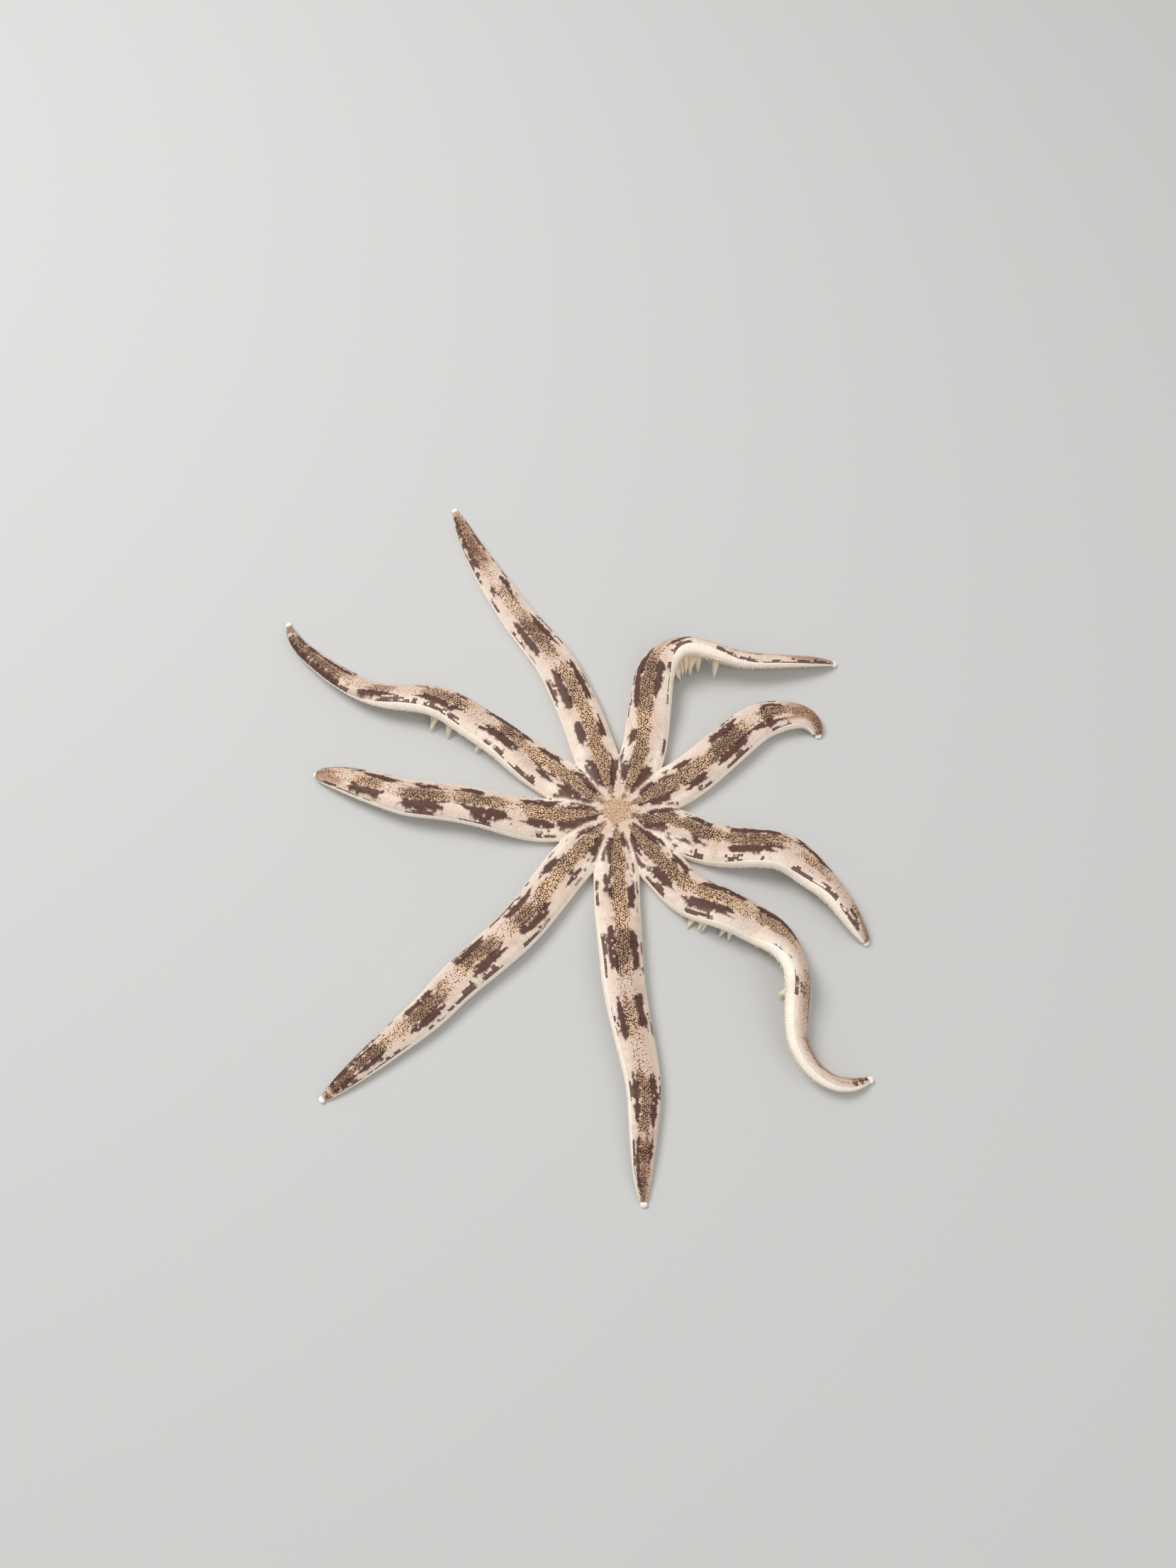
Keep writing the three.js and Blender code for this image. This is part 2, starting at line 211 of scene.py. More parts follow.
class StarfishSizes(bpy.types.PropertyGroup):
    skin_voxel: length_property("Skin grain", "Size of the skin's mesh", 0.6)
    coat_back: length_property("Coat on the back", "How far the skin lies inside the back", 0.45)
    coat_side: length_property("Coat at the sides", "How far the skin lies inside the margins", 0.5)
    coat_sole: length_property("Coat below", "How far the skin lies above the sole", 0.45)
    paxilla_pitch: length_property("Lateral paxillae", "Spacing of the square paxillae on the flanks", 0.88)
    plate_pitch: length_property("Marginal plates", "Spacing of the ribs along the margins", 1.0)
    median_pitch: length_property("Median paxillae", "Spacing of the honeycomb along the midline", 0.9)
    disc_pitch: length_property("Disc granules", "Spacing of the granules on the disc", 0.6)
    spine_length: length_property("Marginal spines", "Length of the spines along the arms' edges", 1.3)
    foot_pitch: length_property("Tube feet", "Spacing of the tube feet along the furrows", 1.7)


class StarfishColours(bpy.types.PropertyGroup):
    cream: colour_property("Cream", "Pinkish cream ground of the back", "EBD6C6")
    gold: colour_property("Gold", "Crowns of the median paxillae and the disc's middle", "FCD7B0")
    brown: colour_property("Brown", "Dark patches", "603D31")
    russet: colour_property("Russet", "Reddish brown of the tips", "C29A80")
    white: colour_property("White", "Marginal plates and spines", "FFF5E6")
    # The gap colours are the skin's own darker tone, with painted shade of the narrow gaps between paxillae
    # in them.
    gap: colour_property("Dark gaps", "Skin between the dark paxillae", "443029")
    gold_gap: colour_property("Golden gaps", "Skin between the golden paxillae", "7A5239")
    pale_gap: colour_property("Pale gaps", "Skin between the cream paxillae", "B5917A")
    foot: colour_property("Tube feet", "Soft tube feet", "EFD6B2")
    bead: colour_property("Terminal plates", "Bare plates at the tips", "F6F1E8")


class StarfishStage(bpy.types.PropertyGroup):
    lens: bpy.props.FloatProperty(name="Lens", description="Focal length on a 36 mm long side", default=28,
                                  unit="CAMERA")
    elevation: bpy.props.FloatProperty(name="Elevation", description="Camera's angle above the floor",
                                       default=math.radians(68), subtype="ANGLE")
    distance: length_property("Distance", "From the camera to the point it looks at", 413)
    aim: bpy.props.FloatVectorProperty(name="Aim", description="From the disc's centre to what is looked at",
                                       size=2, default=(-9.7 * MM, 12.4 * MM), subtype="XYZ", unit="LENGTH")
    floor: colour_property("Floor", "Pale matte floor", "C9C9C8")
    sky: bpy.props.FloatProperty(name="Sky light", description="Strength of the even light", default=0.5,
                                 min=0)
    key: bpy.props.FloatProperty(name="Key light", description="Power of the large soft light", default=8.6,
                                 min=0, unit="POWER")


# --- The body's form ---------------------------------------------------------------------------------------

def eased(steps, s):
    """The sum of eased steps [from, to, amount] taken by each distance s."""
    total = np.zeros_like(s)
    for start, end, amount in steps:
        t = np.clip((s - start) / (end - start), 0, 1)
        total += amount * t * t * (3 - 2 * t)
    return total


def unit(vectors):
    """Vectors, along the last axis, brought to length 1."""
    return vectors / np.maximum(np.linalg.norm(vectors, axis=-1, keepdims=True), 1e-6)


def narrowed(scale):
    """How much closer plates stand where an arm has narrowed to this share of its width at the base."""
    return 0.55 + 0.45 * scale


def catmull_rom(points, spans):
    """A smooth curve through all but the first and last of the points."""
    points = np.array(points, float)
    t = np.linspace(0, 1, spans, endpoint=False)[:, None]
    pieces = []
    for a, b, c, d in zip(points, points[1:], points[2:], points[3:]):
        pieces.append(0.5 * (2 * b + (c - a) * t + (2 * a - 5 * b + 4 * c - d) * t ** 2
                             + (3 * b - a - 3 * c + d) * t ** 3))
    return np.concatenate(pieces + [points[-2:-1]])


class Section:
    """The half section of a full-size arm by distance round it from the crest, in millimetres."""

    curve = np.maximum(catmull_rom(HALF_SECTION, 16), 0)
    steps = np.linalg.norm(np.diff(curve, axis=0) * [ARM_WIDTH / 2, ARM_HEIGHT], axis=1)
    round_to = np.append(0, np.cumsum(steps))
    slope = np.gradient(curve, round_to, axis=0)

    @classmethod
    def at(cls, q):
        """Fractions across and up, and their slopes, at signed distances q (right of the crest positive)."""
        values = np.column_stack([cls.curve, cls.slope])
        found = np.column_stack([np.interp(np.abs(q), cls.round_to, column) for column in values.T])
        side = np.where(q < 0, -1, 1)
        return found[:, 0] * side, found[:, 1], found[:, 2], found[:, 3], side


class Arm:
    """One arm's path over the floor and its changing section."""

    def __init__(self, index, facts):
        self.index = index
        self.facts = facts
        self.length = facts["length"]
        self.steps = np.arange(0, self.length + PATH_STEP, PATH_STEP)
        heading = self.heading_at(self.steps[:-1] + PATH_STEP / 2)
        moves = np.stack([np.cos(heading), np.sin(heading)], 1) * PATH_STEP
        self.path = CENTRE + np.concatenate([np.zeros((1, 2)), np.cumsum(moves, 0)])

    def heading_at(self, s):
        """The arm's direction in plan, in radians from +X."""
        return np.radians(self.facts["heading"] + eased(self.facts["bends"], s))

    def scale_at(self, s):
        """The width of the section as a part of its width at the base."""
        return np.maximum(1 - np.clip(s / self.length, 0, 1) ** self.facts["blunt"], 1e-6) ** TIP_ROUNDNESS

    def drift_at(self, s, aside):
        """How far right of the crest the markings lie, on a full-size arm. aside is 0 at the crest and 1 at
        the edge, which only a turn moves."""
        drift = eased(self.facts["drift"], s) * np.clip(1 - aside ** 2, 0, 1)
        return drift + eased(self.facts.get("turn", []), s)

    def path_at(self, s):
        """The middle of the arm in plan at each s."""
        return np.column_stack([np.interp(s, self.steps, column) for column in self.path.T])

    def lift_at(self, s):
        """How far the arched stretches stand off the floor."""
        total = np.zeros_like(s)
        for start, end, height in self.facts["lifts"]:
            t = np.clip((s - start) / (end - start), 0, 1)
            total += height * 0.5 * (1 - np.cos(2 * np.pi * t))
        return total

    def frames(self, s):
        """Origin, ahead, across (rightwards) and up of the section at each s, its half width and height."""
        heading = self.heading_at(s)
        roll = np.radians(eased(self.facts["rolls"], s))[:, None]
        flat = np.zeros_like(s)
        ahead = np.stack([np.cos(heading), np.sin(heading), flat], 1)
        right = np.stack([np.sin(heading), -np.cos(heading), flat], 1)
        upright = np.array([0.0, 0.0, 1.0])
        across = right * np.cos(roll) + upright * np.sin(roll)
        up = upright * np.cos(roll) - right * np.sin(roll)
        half = ARM_WIDTH / 2 * self.scale_at(s)
        height = ARM_HEIGHT * self.scale_at(s) ** HEIGHT_TAPER
        tilt = np.abs(np.sin(roll[:, 0]))
        base = self.lift_at(s) + tilt * (half * SOLE_EDGE - ROLL_SINK)
        origin = np.column_stack([self.path_at(s), base + SECTION_PIVOT * height * np.cos(roll[:, 0])])
        return origin, ahead, across, up, half, height

    def stretch(self, s, q, sizes):
        """How much longer a step along the skin is at q than a step along the arm's path, as a vector."""
        step = 0.3
        return (self.surface(s + step, q, sizes)[0] - self.surface(s - step, q, sizes)[0]) / (2 * step)

    def surface(self, s, q, sizes):
        """Points of the skin at distances s along and q round the section, with their outward normals."""
        origin, ahead, across, up, half, height = self.frames(s)
        x, y, dx, dy, side = Section.at(q)
        thin = np.minimum(1, 1.3 * self.scale_at(s))
        half = half - sizes.coat_side / MM * thin
        sole = sizes.coat_sole / MM * thin
        height_in = height - sizes.coat_back / MM * thin - sole
        level = sole + y * height_in - SECTION_PIVOT * height
        points = origin + across * (x * half)[:, None] + up * level[:, None]
        normals = across * (-dy * height_in * side)[:, None] + up * (dx * half)[:, None]
        return points, unit(normals), ahead


arms = [Arm(index, facts) for index, facts in enumerate(ARMS)]


def locate(points):
    """For each point, the arm whose path is nearest in plan, and its place in that arm's section."""
    tree = kdtree.KDTree(sum(len(arm.path) for arm in arms))
    owners = [(arm, k) for arm in arms for k in range(len(arm.path))]
    for index, (arm, k) in enumerate(owners):
        tree.insert((*arm.path[k], 0), index)
    tree.balance()
    found = [tree.find((x, y, 0))[1] for x, y in points[:, :2]]
    arm_of = np.array([owners[index][0].index for index in found])
    s = np.array([owners[index][1] * PATH_STEP for index in found])
    across, level, half, height = (np.zeros(len(points)) for _ in range(4))
    ups = np.zeros((len(points), 3))
    for arm in arms:
        chosen = arm_of == arm.index
        origin, _, right, up, half_here, height_here = arm.frames(s[chosen])
        offset = points[chosen] - origin
        across[chosen] = (offset * right).sum(1)
        level[chosen] = (offset * up).sum(1) + SECTION_PIVOT * height_here
        half[chosen], height[chosen], ups[chosen] = half_here, height_here, up
    return arm_of, s, across, level, half, height, ups


# --- Markings ----------------------------------------------------------------------------------------------

NOISE_TABLE = np.random.default_rng(7).standard_normal((len(ARMS), 256, 96))


def mottle(arm_of, s, across, along, over):
    """Smooth random values over the arms, in cells of this length along and over them."""
    u, v = s / along + 3, across / over + 40
    i, j = np.floor(u).astype(int), np.floor(v).astype(int)
    fu, fv = u - i, v - j
    fu, fv = fu * fu * (3 - 2 * fu), fv * fv * (3 - 2 * fv)
    i, j = np.clip(i, 0, 254), np.clip(j, 0, 94)
    low = NOISE_TABLE[arm_of, i, j] * (1 - fv) + NOISE_TABLE[arm_of, i, j + 1] * fv
    high = NOISE_TABLE[arm_of, i + 1, j] * (1 - fv) + NOISE_TABLE[arm_of, i + 1, j + 1] * fv
    return low * (1 - fu) + high * fu


def inside(stretches, s):
    """How far inside the nearest of the stretches each distance lies, in millimetres; negative outside."""
    depth = np.full_like(s, -50.0)
    for start, end in stretches:
        depth = np.maximum(depth, np.minimum(s - start, end - s))
    return depth


def soft_step(value, width):
    """0 to 1 as the value passes 0, over the width."""
    return np.clip(0.5 + value / width, 0, 1)


def margin_line(arm_of, s, side, row):
    """How dark the line along the margin makes a tile: all of its own narrow row, and blots beside it."""
    dark = np.zeros_like(s)
    wave = mottle(arm_of, s, 6.0 * side, 5.0, 1.0)
    fine = mottle(arm_of, s, 9.0 * side + row, 1.7, 1.0)
    off = np.abs(row - LINE_ROW)
    for arm in arms:
        for facing, name in ((1, "right_line"), (-1, "left_line")):
            here = (arm_of == arm.index) & (side == facing)
            depth = inside(arm.facts[name], s[here]) + 1.2 * wave[here]
            blot = 1.9 + 1.6 * fine[here] + wave[here] - 1.6 * off[here]
            dark[here] = soft_step(np.minimum(depth, blot), 0.3) * (off[here] < 4)
    return dark


class Markings:
    """The markings at places on one arm, which seeded noise makes ragged. Each place has its distance s along
    the arm, its distance across from the midline, its level over the sole, the arm's half width there, and
    its radius from the disc's centre. edge is how soft the edge of a patch is."""

    def __init__(self, arm, s, across, level, half, radius, edge):
        self.facts, self.s, self.level, self.half, self.radius = arm.facts, s, level, half, radius
        self.edge = edge
        self.narrow = np.minimum(1, 2 * half / ARM_WIDTH)
        least_half = np.maximum(half, 0.3)
        across = across - arm.drift_at(s, across / least_half) * self.narrow
        self.across, self.aside = across, np.abs(across)
        self.part = self.aside / least_half
        self.near_disc = soft_step(22 - radius, 10)
        # The noise of a patch's ragged ends and edges, and the one that marbles and clouds the flanks.
        self.fingers = mottle(arm.index, s, across, 8.0, 0.85)
        self.comb = mottle(arm.index, s + 30, across, 0.9, 3.0)
        self.lump = mottle(arm.index, s, across, 2.6, 2.2)
        self.speck = mottle(arm.index, s, across, 0.6, 0.6)
        self.slow = mottle(arm.index, s + 50, across, 7.0, 6.0)
        self.marble = mottle(arm.index, s + 20, across + 9, 3.0, 0.6)
        # The midline widens evenly from the disc's centre until it has its full width.
        self.median = np.minimum(0.145 * radius, MEDIAN_HALF) * self.narrow
        self.inner = self.median - 0.1 * self.narrow

    def patches(self):
        """The dark patches beside the midline, and how far a place is within a pair of them."""
        outer = np.minimum(0.67 * self.half, self.inner + 0.4 + 0.11 * self.radius)
        ragged = 0.2 * self.comb + 0.15 * self.lump + 0.12 * self.speck - self.near_disc * 0.4 * self.marble
        brown, band = np.zeros_like(self.s), np.zeros_like(self.s)
        for side, name in ((1, "right"), (-1, "left")):
            depth = inside(self.facts[name], self.s) - 0.8 + 1.5 * self.fingers + 0.5 * self.lump
            band += 0.5 * soft_step(depth, 5)
            ends = soft_step(depth / 2 + 0.2 * self.speck, self.edge)
            narrowing = 0.6 * soft_step(2 - depth, 5)
            outward = soft_step(outer + ragged - narrowing - self.aside, self.edge)
            inward = soft_step(self.aside - self.inner + ragged, 0.5)
            brown = np.where(self.across * side >= 0, ends * outward * inward, brown)
        return brown, band

    def honeycomb(self, band):
        """The golden midline, broken where gold has gaps and fainter between the patches."""
        uneven = (0.35 * self.lump + 0.3 * self.speck + 0.3 * self.comb) * (1 - 0.4 * self.near_disc)
        stretch = inside(self.facts["gold"], self.s) / 2 + 0.7 * self.fingers
        faded = 1 - 0.35 * (1 - band) * soft_step(self.s - 45, 12)
        return soft_step(np.minimum(self.median + uneven - self.aside, stretch), max(self.edge, 0.5)) * faded

    def dusk(self, band):
        """How dark the honeycomb is: in its dusky and deep stretches, between patches, and near the disc,
        with painted light and shade there by how the arm faces the key light.
        """
        s, lump = self.s, self.lump
        dusk = 0.06 + 0.34 * soft_step(inside(self.facts["dusk"], s) + 1.5 * lump, 5) + 0.10 * self.speck
        dusk = dusk + 0.2 * np.clip(self.slow - 0.2, 0, 1.2)
        dusk = dusk + 0.3 * soft_step(inside(self.facts.get("deep", []), s) + 1.5 * lump, 4)
        dusk = dusk + 0.26 * band * soft_step(s - 32, 14) + 0.1 * lump
        # Painted light and shade near the disc: the arms at the back left, which face the key light, are
        # painted lightest, and those opposite them darkest.
        facing = math.cos(math.radians(self.facts["heading"] - 150))
        dusk = dusk + (0.3 - 0.15 * facing) * soft_step(30 - s, 10)
        dusk = dusk - (0.08 + 0.07 * facing) * soft_step(13 - self.radius, 5)
        return np.clip(dusk, 0, 0.72)

    def marbling(self, band):
        """Dark veins over the flanks near the disc, and a faint haze over the whole back."""
        flank = soft_step(self.aside - self.inner + 0.3, 0.5)
        flank = flank * soft_step(0.36 * self.radius - 0.7 - self.aside, 0.6)
        clearing = 1.8 * soft_step(self.radius - 24, 12)
        veins = self.marble + 0.4 * self.speck + 0.3 * self.lump + 1.2 * band - 0.7 - clearing
        cloud = np.clip(0.5 * self.lump + 0.5 * self.slow + 0.3 * self.comb, 0, 1.5)
        haze = 0.12 * cloud * soft_step(0.85 - self.part, 0.3)
        return np.maximum(0.92 * soft_step(veins, 0.35) * flank, haze)

    def white(self, below):
        """The white of the margins, of the corners between two arms, and of the whole underside."""
        rim = soft_step((self.part - 0.84) * self.half, 3.0) * soft_step(self.radius - 18, 10)
        corner = soft_step(self.radius - 13 + 2 * self.lump, 6) * soft_step(self.aside - 4.6, 1.4)
        corner = corner * soft_step(27 - self.radius, 6)
        return np.maximum(np.maximum(rim, 0.8 * corner), below)

    def all(self):
        """The share of brown, gold, white and russet at each place."""
        brown, band = self.patches()
        gold = self.honeycomb(band)
        brown = np.maximum(np.maximum(brown, gold * self.dusk(band)), self.marbling(band))
        russet = soft_step(self.s - self.facts["russet"] + 3 * self.fingers, 6)
        russet = russet * soft_step((0.66 - self.part) * self.half, 0.8)
        sooty = soft_step(self.slow + self.marble + 0.2 - 0.06 * (self.radius - 5), 0.5)
        brown = np.maximum(brown, gold * 0.45 * sooty * soft_step(17 - self.radius, 12))
        core = soft_step(CORE_RADIUS + 0.4 * self.lump + 0.4 * self.speck - self.radius, 1.0)
        brown = brown * (1 - core) + 0.03 * core
        tall = ARM_HEIGHT * (2 * self.half / ARM_WIDTH) ** HEIGHT_TAPER
        below = soft_step(0.22 * tall - self.level, 0.5)
        coloured = np.stack([brown, np.maximum(gold, core), np.maximum(russet, 0.25 * core)]) * (1 - below)
        return np.stack([coloured[0], coloured[1], self.white(below) * (1 - coloured[0]), coloured[2]], 1)


def markings(arm_of, s, across, level, half, radius, edge):
    """The share of brown, gold, white and russet at each place of any arm."""
    marks = np.zeros((len(s), 4))
    for arm in arms:
        own = arm_of == arm.index
        marks[own] = Markings(arm, s[own], across[own], level[own], half[own], radius[own], edge).all()
    return marks


# --- Meshes ------------------------------------------------------------------------------------------------

STRIP_LENGTH = 150               # how much of an arm's length a strip of the bake map has room for
STRIP_ROUND = 21                 # the same round each side of the section
PATCH_RADIUS = 0.0015            # half of the patch that each small shape takes up there


def bake_place(arm_of, s, q):
    """A point's place on the unwrapped skin: one strip for each arm, along it and round it."""
    u = 0.01 + 0.98 * s / STRIP_LENGTH
    v = (arm_of + 0.5 + 0.48 * np.clip(q / STRIP_ROUND, -1, 1)) / len(ARMS)
    return np.stack([u, v], 1)


def make_mesh(name, verts, faces, marks=None, shade=None, rim=None, uv=None, crease=None):
    """A smooth mesh from arrays in millimetres, with the coat's attributes and bake map where they are given.
    An edge whose two ends are creased is sharp."""
    mesh = bpy.data.meshes.new(name)
    corners = faces.shape[1]
    mesh.vertices.add(len(verts))
    mesh.vertices.foreach_set("co", (verts * MM).astype(np.float32).ravel())
    mesh.loops.add(faces.size)
    mesh.loops.foreach_set("vertex_index", faces.astype(np.int32).ravel())
    mesh.polygons.add(len(faces))
    mesh.polygons.foreach_set("loop_start", np.arange(0, faces.size, corners, dtype=np.int32))
    mesh.update(calc_edges=True)
    if marks is not None:
        paint(mesh, marks, shade, rim)
    if uv is not None:
        layer = mesh.uv_layers.new(name="OFBake")
        layer.uv.foreach_set("vector", uv[faces.ravel()].astype(np.float32).ravel())
    mesh.shade_smooth()
    if crease is not None:
        ends = np.empty(len(mesh.edges) * 2, np.int32)
        mesh.edges.foreach_get("vertices", ends)
        mesh.edges.foreach_set("use_edge_sharp", crease[ends.reshape(-1, 2)].all(1))
    piece = bpy.data.objects.new(name, mesh)
    bpy.context.scene.collection.objects.link(piece)
    return piece


def paint(mesh, marks, shade, rim):
    """Stores each point's markings, its lightness, and its rim: on plates and spines the share of the gap's
    colour painted on as shade, on tube feet their painted paleness towards the tips.
    """
    for name, kind, key, values in (("marks", "FLOAT_COLOR", "color", marks),
                                    ("shade", "FLOAT", "value", shade), ("rim", "FLOAT", "value", rim)):
        layer = mesh.attributes.new(name, kind, "POINT")
        layer.data.foreach_set(key, values.astype(np.float32).ravel())


class Pile:
    """Many small closed shapes gathered into one mesh."""

    def __init__(self):
        self.parts = []
        self.count = 0

    def add(self, verts, faces, marks, shade, rim, uv, crease=None):
        """verts is shapes x points x 3 and faces index one shape's points. shade and uv are for each shape,
        marks for each shape or its points, and rim and crease for one shape's points or every shape's."""
        shapes, points = verts.shape[:2]
        starts = self.count + np.arange(shapes) * points
        turn = np.linspace(0, 2 * np.pi, points, endpoint=False)
        spiral = np.stack([np.cos(turn), np.sin(turn)], 1)
        patch = PATCH_RADIUS * spiral * np.linspace(0.3, 1, points)[:, None]
        self.parts.append((
            verts.reshape(-1, 3),
            (faces[None] + starts[:, None, None]).reshape(-1, faces.shape[1]),
            np.repeat(marks, points, 0) if marks.ndim == 2 else marks.reshape(-1, 4),
            np.repeat(shade, points),
            np.broadcast_to(rim, (shapes, points)).ravel(),
            (uv[:, None] + patch[None]).reshape(-1, 2),
            np.broadcast_to(False if crease is None else crease, (shapes, points)).ravel()))
        self.count += shapes * points

    def mesh(self, name):
        """One mesh of all that was added, with nothing of it in the floor."""
        verts, faces, marks, shade, rim, uv, crease = (np.concatenate(part) for part in zip(*self.parts))
        verts[:, 2] = np.maximum(verts[:, 2], FLOOR_GAP)
        return make_mesh(name, verts, faces, marks, shade, rim, np.clip(uv, 0.001, 0.999), crease)


def ring_faces(sides, rings):
    """Triangles of a stack of rings that ends in one last point."""
    faces = []
    for ring in range(rings - 1):
        for k in range(sides):
            a, b = ring * sides + k, ring * sides + (k + 1) % sides
            faces += [(a, b, b + sides), (a, b + sides, a + sides)]
    last = (rings - 1) * sides
    faces += [(last + k, last + (k + 1) % sides, rings * sides) for k in range(sides)]
    faces += [(0, k + 1, k) for k in range(1, sides - 1)]
    return np.array(faces)


def circle(sides):
    """The corners of a regular outline round the origin."""
    turn = (np.arange(sides) + 0.5) * 2 * np.pi / sides
    return np.stack([np.cos(turn), np.sin(turn)], 1)


def raised_shape(outline, profile):
    """Points and faces of a small solid: the outline at each [share, height] of a profile, up to a point."""
    rings = [np.column_stack([outline * share, np.full(len(outline), height)])
             for share, height in profile[:-1]]
    return np.concatenate(rings + [[[0, 0, profile[-1][1]]]]), ring_faces(len(outline), len(profile) - 1)


def place_shapes(shape, origins, ahead, normals, sizes):
    """A shape's points, or one set for each place, on the skin: x along the arm, y across it, z out of it."""
    side = unit(np.cross(normals, ahead))
    along = np.cross(side, normals)
    axes = np.stack([along, side, normals], 1) * sizes[:, :, None]
    shapes = np.broadcast_to(shape, (len(origins), *shape.shape[-2:]))
    return origins[:, None] + np.einsum("npk,nkj->npj", shapes, axes)


def white_marks(count):
    """The markings of plates and spines that are white all over."""
    marks = np.zeros((count, 4))
    marks[:, 2] = 1
    return marks


def dress(piece, material, slot, *nodes):
    """Gives a piece its material, hangs it on the root body and hides the nodes it replaces. slot, which
    would say what it is to the frame, is not used.
    """
    piece.data.materials.append(material)
    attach(piece, "root")
    if nodes:
        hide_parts(*nodes)


SURFACE = {}                     # the finished skin, kept for laying the coat on


def skin_surface():
    """The finished skin as a tree to cast rays at, its points' normals and its faces."""
    if not SURFACE:
        mesh = bpy.data.objects["skin"].data
        verts, normals = (np.empty(len(mesh.vertices) * 3, np.float32) for _ in range(2))
        mesh.vertices.foreach_get("co", verts)
        mesh.vertex_normals.foreach_get("vector", normals)
        faces = [tuple(face.vertices) for face in mesh.polygons]
        SURFACE["tree"] = BVHTree.FromPolygons((verts.reshape(-1, 3) / MM).tolist(), faces)
        SURFACE["normals"] = normals.reshape(-1, 3)
        SURFACE["faces"] = faces
    return SURFACE


def settle(points, normals, reach=1.6):
    """Moves points onto the skin along their normals. Gives them, the skin's normals there and which hit."""
    surface = skin_surface()
    placed, own, hit = points.copy(), normals.copy(), np.zeros(len(points), bool)
    for k, (point, normal) in enumerate(zip(points, normals)):
        start = Vector(point + normal * reach)
        spot, _, face, _ = surface["tree"].ray_cast(start, Vector(-normal), 2.2 * reach)
        if spot is None:
            continue
        placed[k], hit[k] = spot, True
        own[k] = surface["normals"][list(surface["faces"][face])].mean(0)
    return placed, unit(own), hit


# --- Materials ---------------------------------------------------------------------------------------------

def add(tree, kind, inputs=None, **settings):
    """Adds a node with its settings. An input is a value or another node's output."""
    node = tree.nodes.new(kind)
    for key, value in settings.items():
        setattr(node, key, value)
    for key, value in (inputs or {}).items():
        if isinstance(value, bpy.types.NodeSocket):
            tree.links.new(value, node.inputs[key])
        else:
            node.inputs[key].default_value = value
    return node


def new_material(name):
    """An empty material and its node tree."""
    material = bpy.data.materials.new(name)
    material.use_nodes = True
    tree = material.node_tree
    tree.nodes.clear()
    return material, tree


def rgba(colour):
    """A linear colour as a socket takes it."""
    return (*colour, 1.0)


def mix(tree, factor, first, second, blend="MIX"):
    """The first colour with the second mixed in. A mix node takes its factor at socket 0 and colours at 6
    and 7, and gives the result at 2."""
    inputs = {0: factor, 6: first, 7: second}
    return add(tree, "ShaderNodeMix", inputs, data_type="RGBA", blend_type=blend).outputs[2]


def marked_colour(tree, colours):
    """The colour of the crowns and of the gaps between them, from the markings held by the mesh."""
    marks = add(tree, "ShaderNodeAttribute", attribute_name="marks")
    parts = add(tree, "ShaderNodeSeparateColor", {"Color": marks.outputs["Color"]})
    colour = mix(tree, parts.outputs["Green"], rgba(colours.cream), rgba(colours.gold))
    colour = mix(tree, marks.outputs["Alpha"], colour, rgba(colours.russet))
    colour = mix(tree, parts.outputs["Blue"], colour, rgba(colours.white))
    colour = mix(tree, parts.outputs["Red"], colour, rgba(colours.brown))
    gap = mix(tree, parts.outputs["Green"], rgba(colours.pale_gap), rgba(colours.gold_gap))
    gap = mix(tree, marks.outputs["Alpha"], gap, rgba(colours.gold_gap))
    gap = mix(tree, parts.outputs["Red"], gap, rgba(colours.gap))
    return colour, gap


def wet_skin(colours):
    """Wet connective tissue between the plates: satin, and darker than the crowns that stand on it, partly
    its own tone and partly painted shade of the narrow gaps it lies in.
    """
    material, tree = new_material("wet_connective_tissue")
    _, colour = marked_colour(tree, colours)
    marks = add(tree, "ShaderNodeAttribute", attribute_name="marks")
    parts = add(tree, "ShaderNodeSeparateColor", {"Color": marks.outputs["Color"]})
    white_gap = [0.5 * (a + b) for a, b in zip(colours.white, colours.pale_gap)]
    colour = mix(tree, parts.outputs["Blue"], colour, rgba(white_gap))
    place = add(tree, "ShaderNodeTexCoord")
    grain = add(tree, "ShaderNodeTexNoise", {"Vector": place.outputs["Object"], "Scale": 1 / (0.9 * MM),
                                             "Detail": 3.0})
    colour = mix(tree, 0.25, colour, grain.outputs["Color"], "SOFT_LIGHT")
    bump = add(tree, "ShaderNodeBump", {"Strength": 0.4, "Distance": 0.1 * MM,
                                        "Height": grain.outputs["Fac"]})
    shader = add(tree, "ShaderNodeBsdfPrincipled", {"Base Color": colour, "Roughness": 0.55,
                                                    "Normal": bump.outputs["Normal"]})
    add(tree, "ShaderNodeOutputMaterial", {"Surface": shader.outputs["BSDF"]})
    return material


